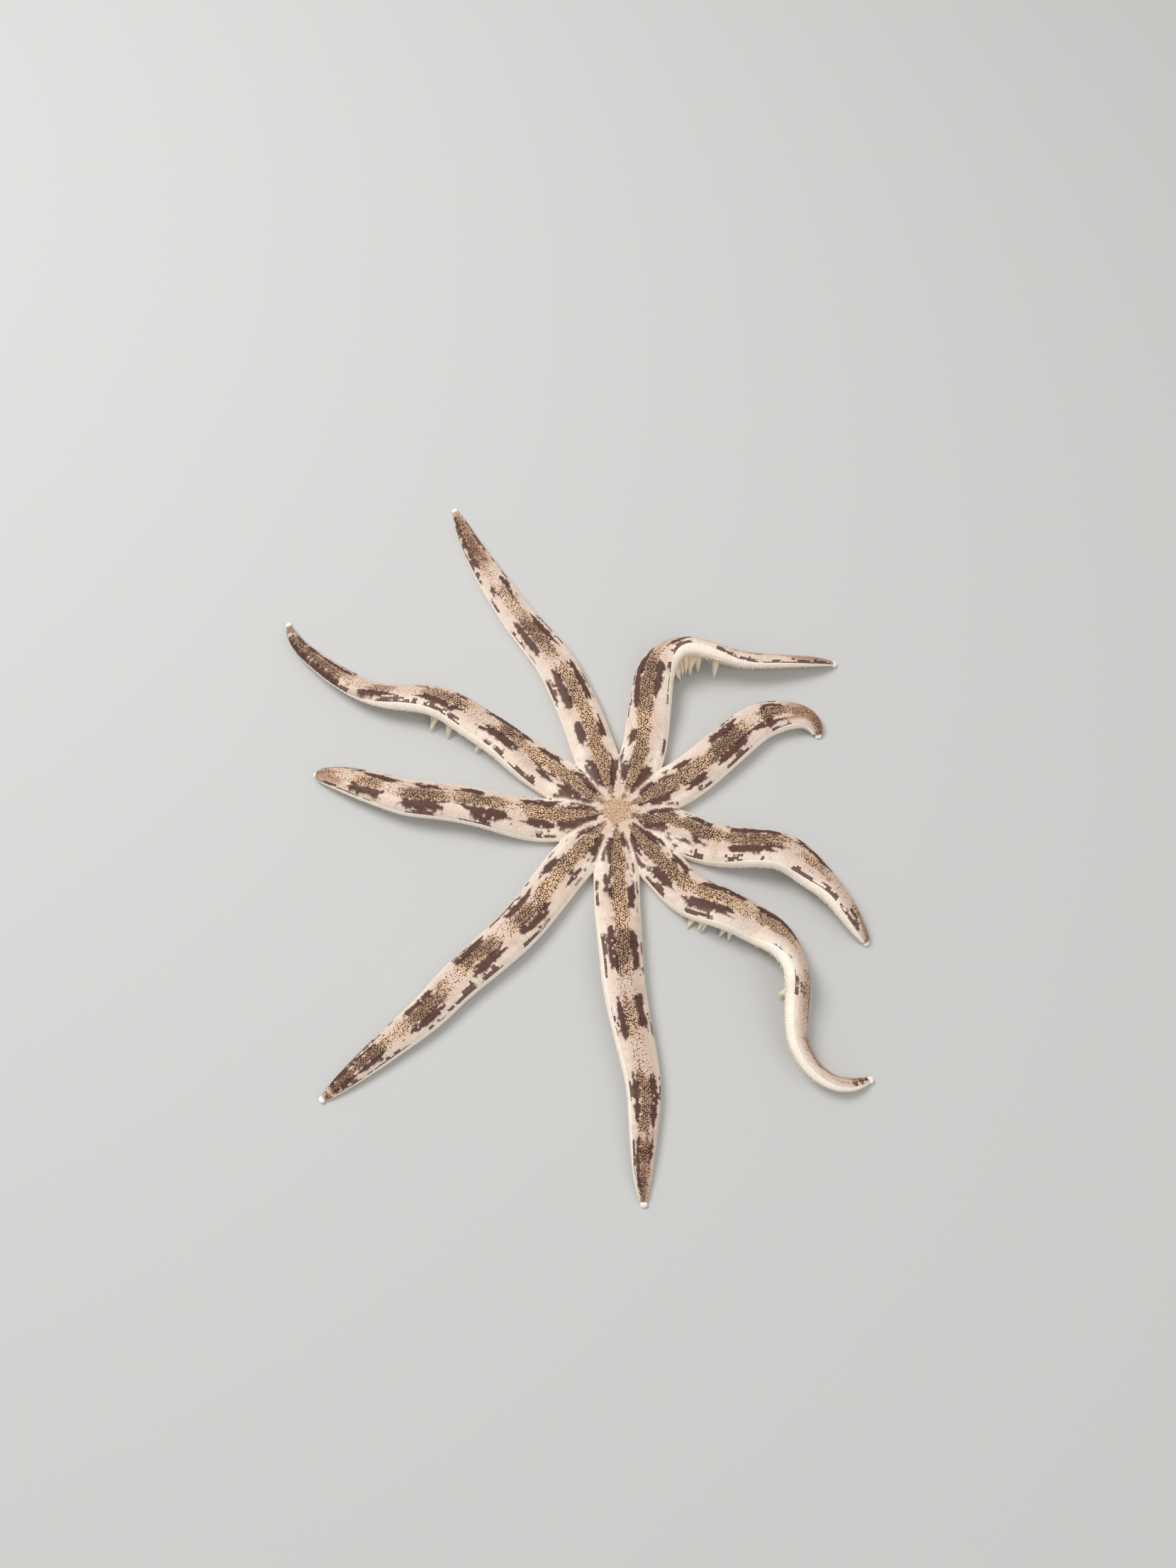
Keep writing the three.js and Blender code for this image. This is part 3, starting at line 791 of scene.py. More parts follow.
def limy_plates(colours, name, rim_shade_strength, roughness):
    """Limy plates under a film of skin: matte, each crown lighter in the middle and darker at its rim, a
    painted shade that the rim attribute lays on.
    """
    material, tree = new_material(name)
    colour, gap = marked_colour(tree, colours)
    rim = add(tree, "ShaderNodeAttribute", attribute_name="rim")
    share = add(tree, "ShaderNodeMath", {0: rim.outputs["Fac"], 1: rim_shade_strength}, operation="MULTIPLY")
    colour = mix(tree, share.outputs[0], colour, gap)
    shade = add(tree, "ShaderNodeAttribute", attribute_name="shade")
    place = add(tree, "ShaderNodeTexCoord")
    # The film of skin is thicker in soft clouds 2 mm wide, which leaves the crowns pinker and greyer there.
    clouds = add(tree, "ShaderNodeTexNoise", {"Vector": place.outputs["Object"], "Scale": 1 / (2.2 * MM),
                                              "Detail": 4.0, "Roughness": 0.65})
    cloudy = mix(tree, clouds.outputs["Fac"], (0.88, 0.84, 0.83, 1), (1.09, 1.10, 1.10, 1))
    colour = mix(tree, 1.0, colour, cloudy, "MULTIPLY")
    lightness = add(tree, "ShaderNodeHueSaturation", {"Value": shade.outputs["Fac"], "Color": colour})
    # Spinelets on a crown are about 0.1 mm apart; they are drawn three times as coarse so that they show.
    spinelets = add(tree, "ShaderNodeTexVoronoi", {"Vector": place.outputs["Object"],
                                                   "Scale": 1 / (0.3 * MM)})
    bump = add(tree, "ShaderNodeBump", {"Strength": 0.35, "Distance": 0.08 * MM,
                                        "Height": spinelets.outputs["Distance"]}, invert=True)
    # The film of water on a live animal gives the crowns small bright glints.
    shader = add(tree, "ShaderNodeBsdfPrincipled", {"Base Color": lightness.outputs["Color"],
                                                    "Roughness": roughness, "Normal": bump.outputs["Normal"],
                                                    "Coat Weight": 0.06, "Coat Roughness": 0.25})
    add(tree, "ShaderNodeOutputMaterial", {"Surface": shader.outputs["BSDF"]})
    return material


def paxilla_plates(colours):
    """The small plates of the back: dull, with painted shade that makes their rims as dark as the gaps
    between them.
    """
    return limy_plates(colours, "limy_paxillae", rim_shade_strength=1.0, roughness=0.75)


def marginal_plates(colours):
    """The ribs and spines of margins and sole: smoother, with only a little shadow at their rims."""
    return limy_plates(colours, "limy_margins", rim_shade_strength=0.55, roughness=0.55)


def soft_feet(colours):
    """Soft translucent flesh filled with sea water: smooth and moist, with painted light that makes it paler
    towards the tips.
    """
    material, tree = new_material("moist_tube_foot_flesh")
    rim = add(tree, "ShaderNodeAttribute", attribute_name="rim")
    colour = mix(tree, rim.outputs["Fac"], rgba(colours.foot), rgba(colours.white))
    shader = add(tree, "ShaderNodeBsdfPrincipled", {"Base Color": colour, "Roughness": 0.35,
                                                    "Subsurface Weight": 0.25, "Subsurface Scale": 0.6 * MM,
                                                    "Subsurface Radius": (1.0, 0.8, 0.65)})
    add(tree, "ShaderNodeOutputMaterial", {"Surface": shader.outputs["BSDF"]})
    return material


def bare_plate(colours):
    """Bare calcite plate: smooth, white and a little glossy."""
    material, tree = new_material("bare_calcite")
    place = add(tree, "ShaderNodeTexCoord")
    grain = add(tree, "ShaderNodeTexNoise", {"Vector": place.outputs["Object"], "Scale": 1 / (0.5 * MM)})
    colour = mix(tree, 0.12, rgba(colours.bead), grain.outputs["Color"], "SOFT_LIGHT")
    bump = add(tree, "ShaderNodeBump", {"Strength": 0.2, "Distance": 0.05 * MM,
                                        "Height": grain.outputs["Fac"]})
    shader = add(tree, "ShaderNodeBsdfPrincipled", {"Base Color": colour, "Roughness": 0.4,
                                                    "Normal": bump.outputs["Normal"]})
    add(tree, "ShaderNodeOutputMaterial", {"Surface": shader.outputs["BSDF"]})
    return material


def material_named(name, maker, colours):
    """The material of this name, made the first time that a piece asks for it."""
    return bpy.data.materials.get(name) or maker(colours)


# --- Pieces ------------------------------------------------------------------------------------------------

class STARFISH_OT_stage(bpy.types.Operator):
    """Makes the pale floor, the soft studio light and the camera"""
    bl_idname = "starfish.stage"
    bl_label = "Stage"

    def execute(self, context):
        stage = context.scene.starfish_stage
        self.make_floor(stage)
        self.make_camera(context, stage)
        self.make_lights(context, stage)
        return {"FINISHED"}

    def make_floor(self, stage):
        """A flat floor, far wider than the view."""
        corners = 3000.0 * np.array([(-1, -1, 0), (1, -1, 0), (1, 1, 0), (-1, 1, 0)])
        floor = make_mesh("floor", corners, np.array([(0, 1, 2, 3)]))
        material, tree = new_material("matte_plaster_floor")
        shader = add(tree, "ShaderNodeBsdfPrincipled", {"Base Color": rgba(stage.floor), "Roughness": 0.9})
        add(tree, "ShaderNodeOutputMaterial", {"Surface": shader.outputs["BSDF"]})
        floor.data.materials.append(material)

    def make_camera(self, context, stage):
        """The camera, which looks down at the animal from the front."""
        camera = bpy.data.objects.new("camera", bpy.data.cameras.new("camera"))
        context.scene.collection.objects.link(camera)
        context.scene.camera = camera
        camera.data.sensor_width = 36
        camera.data.lens = stage.lens
        camera.data.clip_start = 0.01
        target = Vector((*(CENTRE * MM), 0)) + Vector((*stage.aim, 0))
        back = Vector((0, -math.cos(stage.elevation), math.sin(stage.elevation)))
        camera.location = target + back * stage.distance
        camera.rotation_mode = "QUATERNION"
        camera.rotation_quaternion = (-back).to_track_quat("-Z", "Y")

    def make_lights(self, context, stage):
        """An even sky and two large soft lights, like a bright overcast day."""
        context.scene.view_settings.view_transform = "Standard"
        world = bpy.data.worlds.new("even_sky")
        context.scene.world = world
        world.use_nodes = True
        background = world.node_tree.nodes["Background"]
        background.inputs["Color"].default_value = (1, 0.99, 0.97, 1)
        background.inputs["Strength"].default_value = stage.sky
        # The key light comes from behind on the left, and a wider, weaker fill from the front on the right.
        for name, place, size, power in (("key", (-0.55, 0.35, 0.95), 0.5, stage.key),
                                         ("fill", (0.7, -0.5, 0.8), 0.9, stage.key * 0.3)):
            lamp = bpy.data.objects.new(name, bpy.data.lights.new(name, "AREA"))
            lamp.data.size = size
            lamp.data.energy = power
            lamp.location = place
            lamp.rotation_mode = "QUATERNION"
            lamp.rotation_quaternion = (-Vector(place)).to_track_quat("-Z", "Y")
            context.scene.collection.objects.link(lamp)


def tube_faces(start, rings, around):
    """Faces of a tube of rings whose points begin at start, with a fan over each end."""
    ring = np.arange(around)
    ahead = np.roll(ring, -1)
    faces = []
    for low in start + around * np.arange(rings - 1):
        faces += np.stack([low + ring, low + around + ring, low + around + ahead, low + ahead], 1).tolist()
    for low, flip in ((start, 1), (start + (rings - 1) * around, -1)):
        fan = np.stack([np.full(around - 2, low), low + ring[1:-1], low + ring[2:]], 1)
        faces += fan[:, ::flip].tolist()
    return faces


class STARFISH_OT_skin(bpy.types.Operator):
    """Makes the one skin of disc and arms, with the furrows and the mouth sunk into its underside"""
    bl_idname = "starfish.skin"
    bl_label = "Skin"

    def execute(self, context):
        sizes, colours = context.scene.starfish_sizes, context.scene.starfish_colours
        rough = self.join_shells(sizes)
        skin = self.remesh(context, rough, sizes)
        self.sink_furrows(skin)
        self.paint_skin(skin)
        dress(skin, material_named("wet_connective_tissue", wet_skin, colours), "arm_skin", *FLESH)
        return {"FINISHED"}

    def join_shells(self, sizes):
        """Nine arm shells that pass through each other at the centre, and the dome over them, as one mesh."""
        verts, faces = [], []
        for rings in [self.arm_rings(arm, sizes) for arm in arms] + [self.dome_rings(sizes)]:
            start = sum(len(v) for v in verts)
            verts.append(rings.reshape(-1, 3))
            faces += tube_faces(start, *rings.shape[:2])
        mesh = bpy.data.meshes.new("shells")
        mesh.from_pydata((np.concatenate(verts) * MM).tolist(), [], faces)
        shells = bpy.data.objects.new("shells", mesh)
        bpy.context.scene.collection.objects.link(shells)
        return shells

    def arm_rings(self, arm, sizes):
        """Rings round one arm, from the disc's centre to just short of its terminal plate."""
        around = 60
        reach = Section.round_to[-1]
        q = np.linspace(-reach, reach, around, endpoint=False)
        stations = np.linspace(0, arm.length - 0.6 * PLATE_LENGTH, int(arm.length / 0.8))
        points, _, _ = arm.surface(np.repeat(stations, around), np.tile(q, len(stations)), sizes)
        return points.reshape(len(stations), around, 3)

    def dome_rings(self, sizes):
        """Rings of the disc's dome, from its top down into the arms."""
        around, rings = 48, 16
        turn = np.arange(around) * 2 * np.pi / around
        tilt = (np.pi / 2 * (np.arange(rings) + 0.5) / rings)[:, None]
        top = DOME_TOP - sizes.coat_back / MM
        height = np.broadcast_to(top - DOME_RISE * (1 - np.cos(tilt)), (rings, around))
        return np.stack([CENTRE[0] + DOME_RADIUS * np.sin(tilt) * np.cos(turn),
                         CENTRE[1] + DOME_RADIUS * np.sin(tilt) * np.sin(turn), height], 2)

    def remesh(self, context, shells, sizes):
        """Joins the shells into one smooth closed surface."""
        remesh = shells.modifiers.new("join", "REMESH")
        remesh.mode = "VOXEL"
        remesh.voxel_size = sizes.skin_voxel
        smooth = shells.modifiers.new("ease", "SMOOTH")
        smooth.factor = 0.5
        smooth.iterations = 4
        evaluated = shells.evaluated_get(context.evaluated_depsgraph_get())
        mesh = bpy.data.meshes.new_from_object(evaluated)
        bpy.data.objects.remove(shells)
        skin = bpy.data.objects.new("skin", mesh)
        mesh.name = "skin"
        context.scene.collection.objects.link(skin)
        return skin

    def sink_furrows(self, skin):
        """Raises the sole along each arm's midline into a furrow, and round the centre into the mouth."""
        points = read_points(skin.data)
        _, s, across, level, half, height, up = locate(points)
        radius = np.linalg.norm(points[:, :2] - CENTRE, axis=1)
        on_sole = level < 0.16 * height
        lip = np.clip(1 - np.abs(across) / (FURROW_HALF * half + 0.15), 0, 1)
        furrow = FURROW_DEPTH * height * np.minimum(1, 1.25 * lip) * soft_step(s - 1.5, 2)
        mouth = MOUTH_DEPTH * soft_step(MOUTH_RADIUS - radius, 2.4)
        rise = np.where(on_sole, np.maximum(furrow, mouth), 0)
        points += up * rise[:, None]
        skin.data.vertices.foreach_set("co", (points * MM).astype(np.float32).ravel())
        skin.data.update()

    def paint_skin(self, skin):
        """Gives the skin the same markings as the coat over it."""
        points = read_points(skin.data)
        arm_of, s, across, level, half, _, _ = locate(points)
        radius = np.linalg.norm(points[:, :2] - CENTRE, axis=1)
        marks = markings(arm_of, s, across, level, half, radius, 0.8)
        paint(skin.data, marks, np.ones(len(points)), np.ones(len(points)))
        skin.data.shade_smooth()


def read_points(mesh):
    """A mesh's points in millimetres."""
    points = np.empty(len(mesh.vertices) * 3, np.float32)
    mesh.vertices.foreach_get("co", points)
    return points.reshape(-1, 3).astype(float) / MM


# A crown as [share, height] pairs from its sunken foot to the middle of its top, and how much of the gap's
# colour each
# takes as painted shade on its rim: raised where the honeycomb is golden, and elsewhere closed up into a
# smooth coat.
DOMED = dict(profile=[(1.0, 0.1), (0.9, 0.6), (0.74, 0.92), (0, 1.0)], rim=[1.0, 0.9, 0.2, 0.0])
FLAT = dict(profile=[(1.06, -0.6), (1.03, 0.5), (1.0, 0.93), (0, 1.0)], rim=[1.0, 1.0, 0.5, 0.0])
# outline: the crown from above. swing: how far it may be turned, in radians. flat_grow and domed_grow: its
# size in its space. least: how domed it is at least. spread: how far across it the markings vary, where 0
# leaves one colour on a crown. dull: how unevenly brown its gold is. round_line: how far a margin line fades
# towards its corners.
TILE = dict(outline=np.array([(1, 0.55), (0.55, 1), (-0.55, 1), (-1, 0.55), (-1, -0.55), (-0.55, -1),
                              (0.55, -1), (1, -0.55)]),
            swing=0.16, flat_grow=1.2, domed_grow=(0.98, 1.06), least=0.0, spread=0.9, dull=0.1,
            round_line=0.28)
CELL = dict(outline=circle(6) * 1.155,
            swing=0.5, flat_grow=1.2, domed_grow=(0.94, 1.1), least=0.35, spread=0.7, dull=0.12,
            round_line=0.0)
GRANULE = dict(CELL, least=0.22)
SPOTTED = 0.02                   # the share of crowns that are only half as brown as their neighbours


def crown_marks(kind, places, shape, line, rng):
    """The markings on every point of each crown. line is how much of a margin line falls on each."""
    arm_of, s, across, level, half, radius, half_length, half_width = places
    count, each = len(s), len(shape)
    along = s[:, None] + kind["spread"] * shape[None, :, 0] * half_length[:, None]
    over = across[:, None] - kind["spread"] * shape[None, :, 1] * half_width[:, None]
    reach = radius[:, None] + along - s[:, None]
    marks = markings(np.repeat(arm_of, each), along.ravel(), over.ravel(), np.repeat(level, each),
                     np.repeat(half, each), reach.ravel(), 0.25).reshape(count, each, 4)
    fade = 1 - 0.55 * kind["round_line"] * np.linalg.norm(shape[:, :2], axis=1)
    marks[:, :, 0] = np.maximum(marks[:, :, 0], line[:, None] * fade)
    marks[:, :, 2] *= 1 - line[:, None]
    # Each golden crown is browner by chance, more so near the disc and not at all in its core.
    dull = np.clip(rng.normal(0.4, 1, count), 0, 3) * kind["dull"] * (1 + 1.4 * soft_step(22 - radius, 10))
    dull = dull * soft_step(radius - 4.5, 1.5)
    marks[:, :, 0] = np.maximum(marks[:, :, 0], marks[:, :, 1] * dull[:, None])
    marks[:, :, 0] *= np.where(rng.random(count) < SPOTTED, 0.45, 1)[:, None]
    return marks


def add_paxillae(pile, kind, places, rng):
    """Sets a paxilla at each place: arm, distances along and round, point, normal, ahead, half length and
    width, and its row from the edge, or -1."""
    arm_of, s, q, points, normals, ahead, half_length, half_width, row = places
    count, corners = len(s), len(kind["outline"])
    flat, faces = raised_shape(kind["outline"], FLAT["profile"])
    domed, _ = raised_shape(kind["outline"], DOMED["profile"])
    own_arm, own_s, across, level, half, _, _ = locate(points)
    radius = np.linalg.norm(points[:, :2] - CENTRE, axis=1)
    line = margin_line(arm_of, s, np.sign(q), row) * (row >= 0) * (radius > 20)
    marks = crown_marks(kind, (own_arm, own_s, across, level, half, radius, half_length, half_width), flat,
                        line, rng)
    brown = marks[:, :, 0].mean(1)
    gold = np.clip(marks[:, :, 1].mean(1) * (1 - 0.5 * line), 0, 1)

    # How domed each crown is, and how much of the gap's colour its rings take as painted shade on their rims.
    share = gold * (1 - 0.4 * soft_step(4.5 - radius, 1.5))
    share = np.maximum(share, kind["least"] * (soft_step(12 - radius, 5) if kind is GRANULE else 1))[:, None]
    flat_rim, domed_rim = (np.append(np.repeat(form["rim"][:-1], corners), form["rim"][-1])
                           for form in (FLAT, DOMED))
    seam = np.maximum(brown, 0.8 * soft_step(MEDIAN_HALF + 1.2 - np.abs(across), 1.6))[:, None]
    rim = flat_rim * (1 - share) * (0.25 + 0.75 * seam) + domed_rim * share
    shapes = flat * (1 - share[:, :, None]) + domed * share[:, :, None]

    swing = rng.uniform(-kind["swing"], kind["swing"], count)[:, None]
    ahead = ahead * np.cos(swing) + np.cross(normals, ahead) * np.sin(swing)
    grow = kind["flat_grow"] * (1 - share[:, 0]) + rng.uniform(*kind["domed_grow"], count) * share[:, 0]
    tall = CROWN_HEIGHT + rng.uniform(-0.03, 0.03, count) * (0.2 + 0.8 * gold)
    verts = place_shapes(shapes, points, ahead, normals,
                         np.column_stack([half_length * grow, half_width * grow, tall]))
    top_edge = np.arange(len(flat)) // corners == 2
    shade = 1 + rng.uniform(-0.16, 0.12, count) * np.clip(0.35 + 0.65 * gold + 0.5 * brown, 0, 1)
    pile.add(verts, faces, marks, shade, rim, bake_place(arm_of, s, q), top_edge & (share < 0.5))


def clear_of(points, roots, distance):
    """Which points have no root nearer than the distance."""
    if not roots:
        return np.ones(len(points), bool)
    laid = np.concatenate(roots)
    tree = kdtree.KDTree(len(laid))
    for index, root in enumerate(laid):
        tree.insert(root, index)
    tree.balance()
    return np.array([tree.find(point)[2] > distance for point in points], bool)


def closing(s, inner):
    """How much closer the rows stand near the disc, from the share inner where they begin."""
    return inner + (1 - inner) * np.clip((s - ROWS_FROM) / CLOSING_LENGTH, 0, 1)


def row_stations(arm, start, end, pitch, inner=1.0):
    """Distances along an arm that close up as it narrows, and by the share inner at the disc."""
    found = []
    s = start
    while s < end:
        found.append(s)
        s += pitch * narrowed(float(arm.scale_at(np.array([s]))[0])) * closing(s, inner)
    return np.array(found)


def on_own_arm(arm, points, least_radius):
    """Which points lie outside the disc's own coat and nearer to this arm than to any other."""
    arm_of = locate(points)[0]
    return (arm_of == arm.index) & (np.linalg.norm(points[:, :2] - CENTRE, axis=1) > least_radius)


ROOTS = []                       # where paxillae stand already


class STARFISH_OT_arm_coat(bpy.types.Operator):
    """Covers the arms' backs: a honeycomb along the midline, and square paxillae in cross rows beside it"""
    bl_idname = "starfish.arm_coat"
    bl_label = "Arm paxillae"

    def execute(self, context):
        sizes, colours = context.scene.starfish_sizes, context.scene.starfish_colours
        material = material_named("limy_paxillae", paxilla_plates, colours)
        for arm in arms:
            rng = np.random.default_rng(100 + arm.index)
            pile = Pile()
            own_roots = []
            for kind, rows in ((CELL, self.median_columns), (TILE, self.lateral_rows)):
                s, q, half_length, half_width, row = rows(arm, sizes)
                uneven = 0.11 if kind is CELL else 0.05
                s = s + 0.3 * mottle(arm.index, s, q, 9.0, 3.0) + rng.normal(0, uneven, len(s))
                half_width = half_width * (1 - 2 * eased(arm.facts["drift"], s) * q / BACK_EDGE ** 2)
                q = q + arm.drift_at(s, q / BACK_EDGE)
                q = q + 0.12 * mottle(arm.index, s, q, 4.0, 4.0) + rng.normal(0, uneven, len(s))
                points, normals, ahead = arm.surface(s, q, sizes)
                longer = np.linalg.norm(arm.stretch(s, q, sizes), axis=1)
                half_length = half_length * np.clip(longer, 0.7, 1.5)
                keep = on_own_arm(arm, points, ROWS_FROM)
                points, own, hit = settle(points, normals)
                keep &= hit & clear_of(points, ROOTS, 0.5)
                places = (np.full(len(s), arm.index), s, q, points, 0.5 * (normals + own), ahead, half_length,
                          half_width, row)
                add_paxillae(pile, kind, [values[keep] for values in places], rng)
                own_roots.append(points[keep])
            ROOTS.extend(own_roots)
            dress(pile.mesh(f"coat_arm_{arm.index + 1}"), material, "arm_skin")
        return {"FINISHED"}

    def rows_at(self, scale, sizes):
        """How many rows of tiles fit on each side, their pitch, and what they leave to the midline."""
        pitch = 0.95 * sizes.paxilla_pitch / MM * narrowed(scale)
        # Towards the tip the honeycomb narrows a little more than the tiles do.
        room = (BACK_EDGE * scale - MEDIAN_HALF * (0.45 + 0.55 * scale)) / pitch
        rows = np.maximum(np.searchsorted(ROW_EDGES, room, side="right") - 1, 1)
        return rows, pitch, BACK_EDGE * scale - np.take(ROW_EDGES, rows) * pitch

    def lateral_rows(self, arm, sizes):
        """Distances along and round, half length, half width and row of the square tiles of the flanks."""
        along = sizes.paxilla_pitch / MM
        stations = row_stations(arm, ROWS_FROM, arm.length - COAT_END, along)
        scale = arm.scale_at(stations)
        rows, pitch, _ = self.rows_at(scale, sizes)
        found = []
        for j, (near, far) in enumerate(zip(ROW_EDGES, ROW_EDGES[1:])):
            have = rows > j
            out = BACK_EDGE * scale[have] - (near + far) / 2 * pitch[have]
            half_length = 0.5 * along * narrowed(scale[have])
            half_width = 0.495 * (far - near) * pitch[have]
            s = stations[have] + half_length * (j % 2)
            for side in (1, -1):
                found.append(np.column_stack([s, side * out / scale[have], half_length, half_width,
                                              np.full(have.sum(), j)]))
        return np.concatenate(found).T

    def median_columns(self, arm, sizes):
        """The same of the honeycomb's cells, in columns along the midline that stand half a cell apart."""
        base = sizes.median_pitch / MM
        stations = row_stations(arm, ROWS_FROM, arm.length - COAT_END, base, MEDIAN_CLOSING)
        scale = arm.scale_at(stations)
        _, _, left_over = self.rows_at(scale, sizes)
        pitch = base * narrowed(scale) * closing(stations, MEDIAN_CLOSING)
        columns = np.maximum(np.round(2 * left_over / (0.88 * pitch)), 1)
        found = []
        for c in range(int(columns.max())):
            have = columns > c
            out = (c - (columns[have] - 1) / 2) * 2 * left_over[have] / columns[have]
            shift = 0.5 * pitch[have] * (c % 2)
            found.append(np.column_stack([stations[have] + shift, out / scale[have], 0.5 * pitch[have],
                                          left_over[have] / columns[have], np.full(have.sum(), -1)]))
        return np.concatenate(found).T


HONEYCOMB_ROW = 0.866            # the step from row to row of a honeycomb, in pitches


class STARFISH_OT_disc_coat(bpy.types.Operator):
    """Covers the disc's middle, and what the arms' rows leave bare round it, with small granules"""
    bl_idname = "starfish.disc_coat"
    bl_label = "Disc granules"

    def execute(self, context):
        sizes, colours = context.scene.starfish_sizes, context.scene.starfish_colours
        rng = np.random.default_rng(11)
        pitch = sizes.disc_pitch / MM
        points = self.honeycomb(pitch, rng)
        points, normals, hit = settle(points, np.tile([0.0, 0, 1], (len(points), 1)), 10)
        hit &= points[:, 2] > 0.3 * ARM_HEIGHT
        hit[hit] = clear_of(points[hit], ROOTS, 0.85 * pitch)
        points, normals = points[hit], normals[hit]
        arm_of, s, across, _, _, _, _ = locate(points)
        count = len(points)
        # Each points away from the centre; the one on it, which has no such way, along +X.
        ahead = unit(np.column_stack([points[:, :2] - CENTRE, np.zeros(count)]) + [0.01, 0, 0])
        half = np.full(count, pitch * 0.5)
        places = (arm_of, s, across, points, normals, ahead, half, half, np.full(count, -1))
        pile = Pile()
        add_paxillae(pile, GRANULE, places, rng)
        dress(pile.mesh("coat_disc"), material_named("limy_paxillae", paxilla_plates, colours), "disc_skin")
        return {"FINISHED"}

    def honeycomb(self, pitch, rng):
        """Points of a slightly uneven honeycomb over the disc, above its dome's rim."""
        rows = int(DISC_EDGE / (pitch * HONEYCOMB_ROW)) + 1
        i, j = np.meshgrid(np.arange(-rows, rows + 1), np.arange(-rows, rows + 1))
        x, y = ((i + 0.5 * (j % 2)) * pitch).ravel(), (j * pitch * HONEYCOMB_ROW).ravel()
        x, y = x + rng.normal(0, 0.04, len(x)), y + rng.normal(0, 0.04, len(y))
        keep = np.hypot(x, y) < DISC_EDGE
        return np.column_stack([CENTRE[0] + x[keep], CENTRE[1] + y[keep], np.full(keep.sum(), 5.0)])


def rib_shape(stations, width_points):
    """Faces of a strip of stations x width points, whose sunken long edges lie in the skin."""
    faces = []
    for k in range(stations - 1):
        for w in range(width_points - 1):
            a = k * width_points + w
            b = a + width_points
            faces += [(a, a + 1, b + 1), (a, b + 1, b)]
    return np.array(faces)


# A spine as [share of its thickness, share of its length], with four sides, lighter towards its tip: its root
# is darkened with painted shade.
SPINE = [(1.0, -0.08), (0.85, 0.5), (0, 1.0)]
SPINE_SIDES = 4
SPINE_ROOT_SHADE = np.append(np.repeat([0.5, 0.1], SPINE_SIDES), 0.0)


def add_spines(pile, index, s, q, roots, direction, length, thickness, rng):
    """Small white tapering spines that stand on their roots along the given directions."""
    shape, faces = raised_shape(circle(SPINE_SIDES), SPINE)
    direction = unit(direction)
    count = len(roots)
    turned = unit(np.cross(direction, rng.normal(size=(count, 3))))
    verts = place_shapes(shape, roots, turned, direction, np.column_stack([thickness, thickness, length]))
    pile.add(verts, faces, white_marks(count), rng.uniform(0.92, 1.08, count), SPINE_ROOT_SHADE,
             bake_place(index, s, q))


RIBS_FROM = DISC_REACH - 10      # radius where the margins' ribs begin
FRINGE_FROM = DISC_REACH - 6     # radius where their spines begin
RIB_ROUND = 10.0                 # where the ribs' patches lie on the bake map, round the section


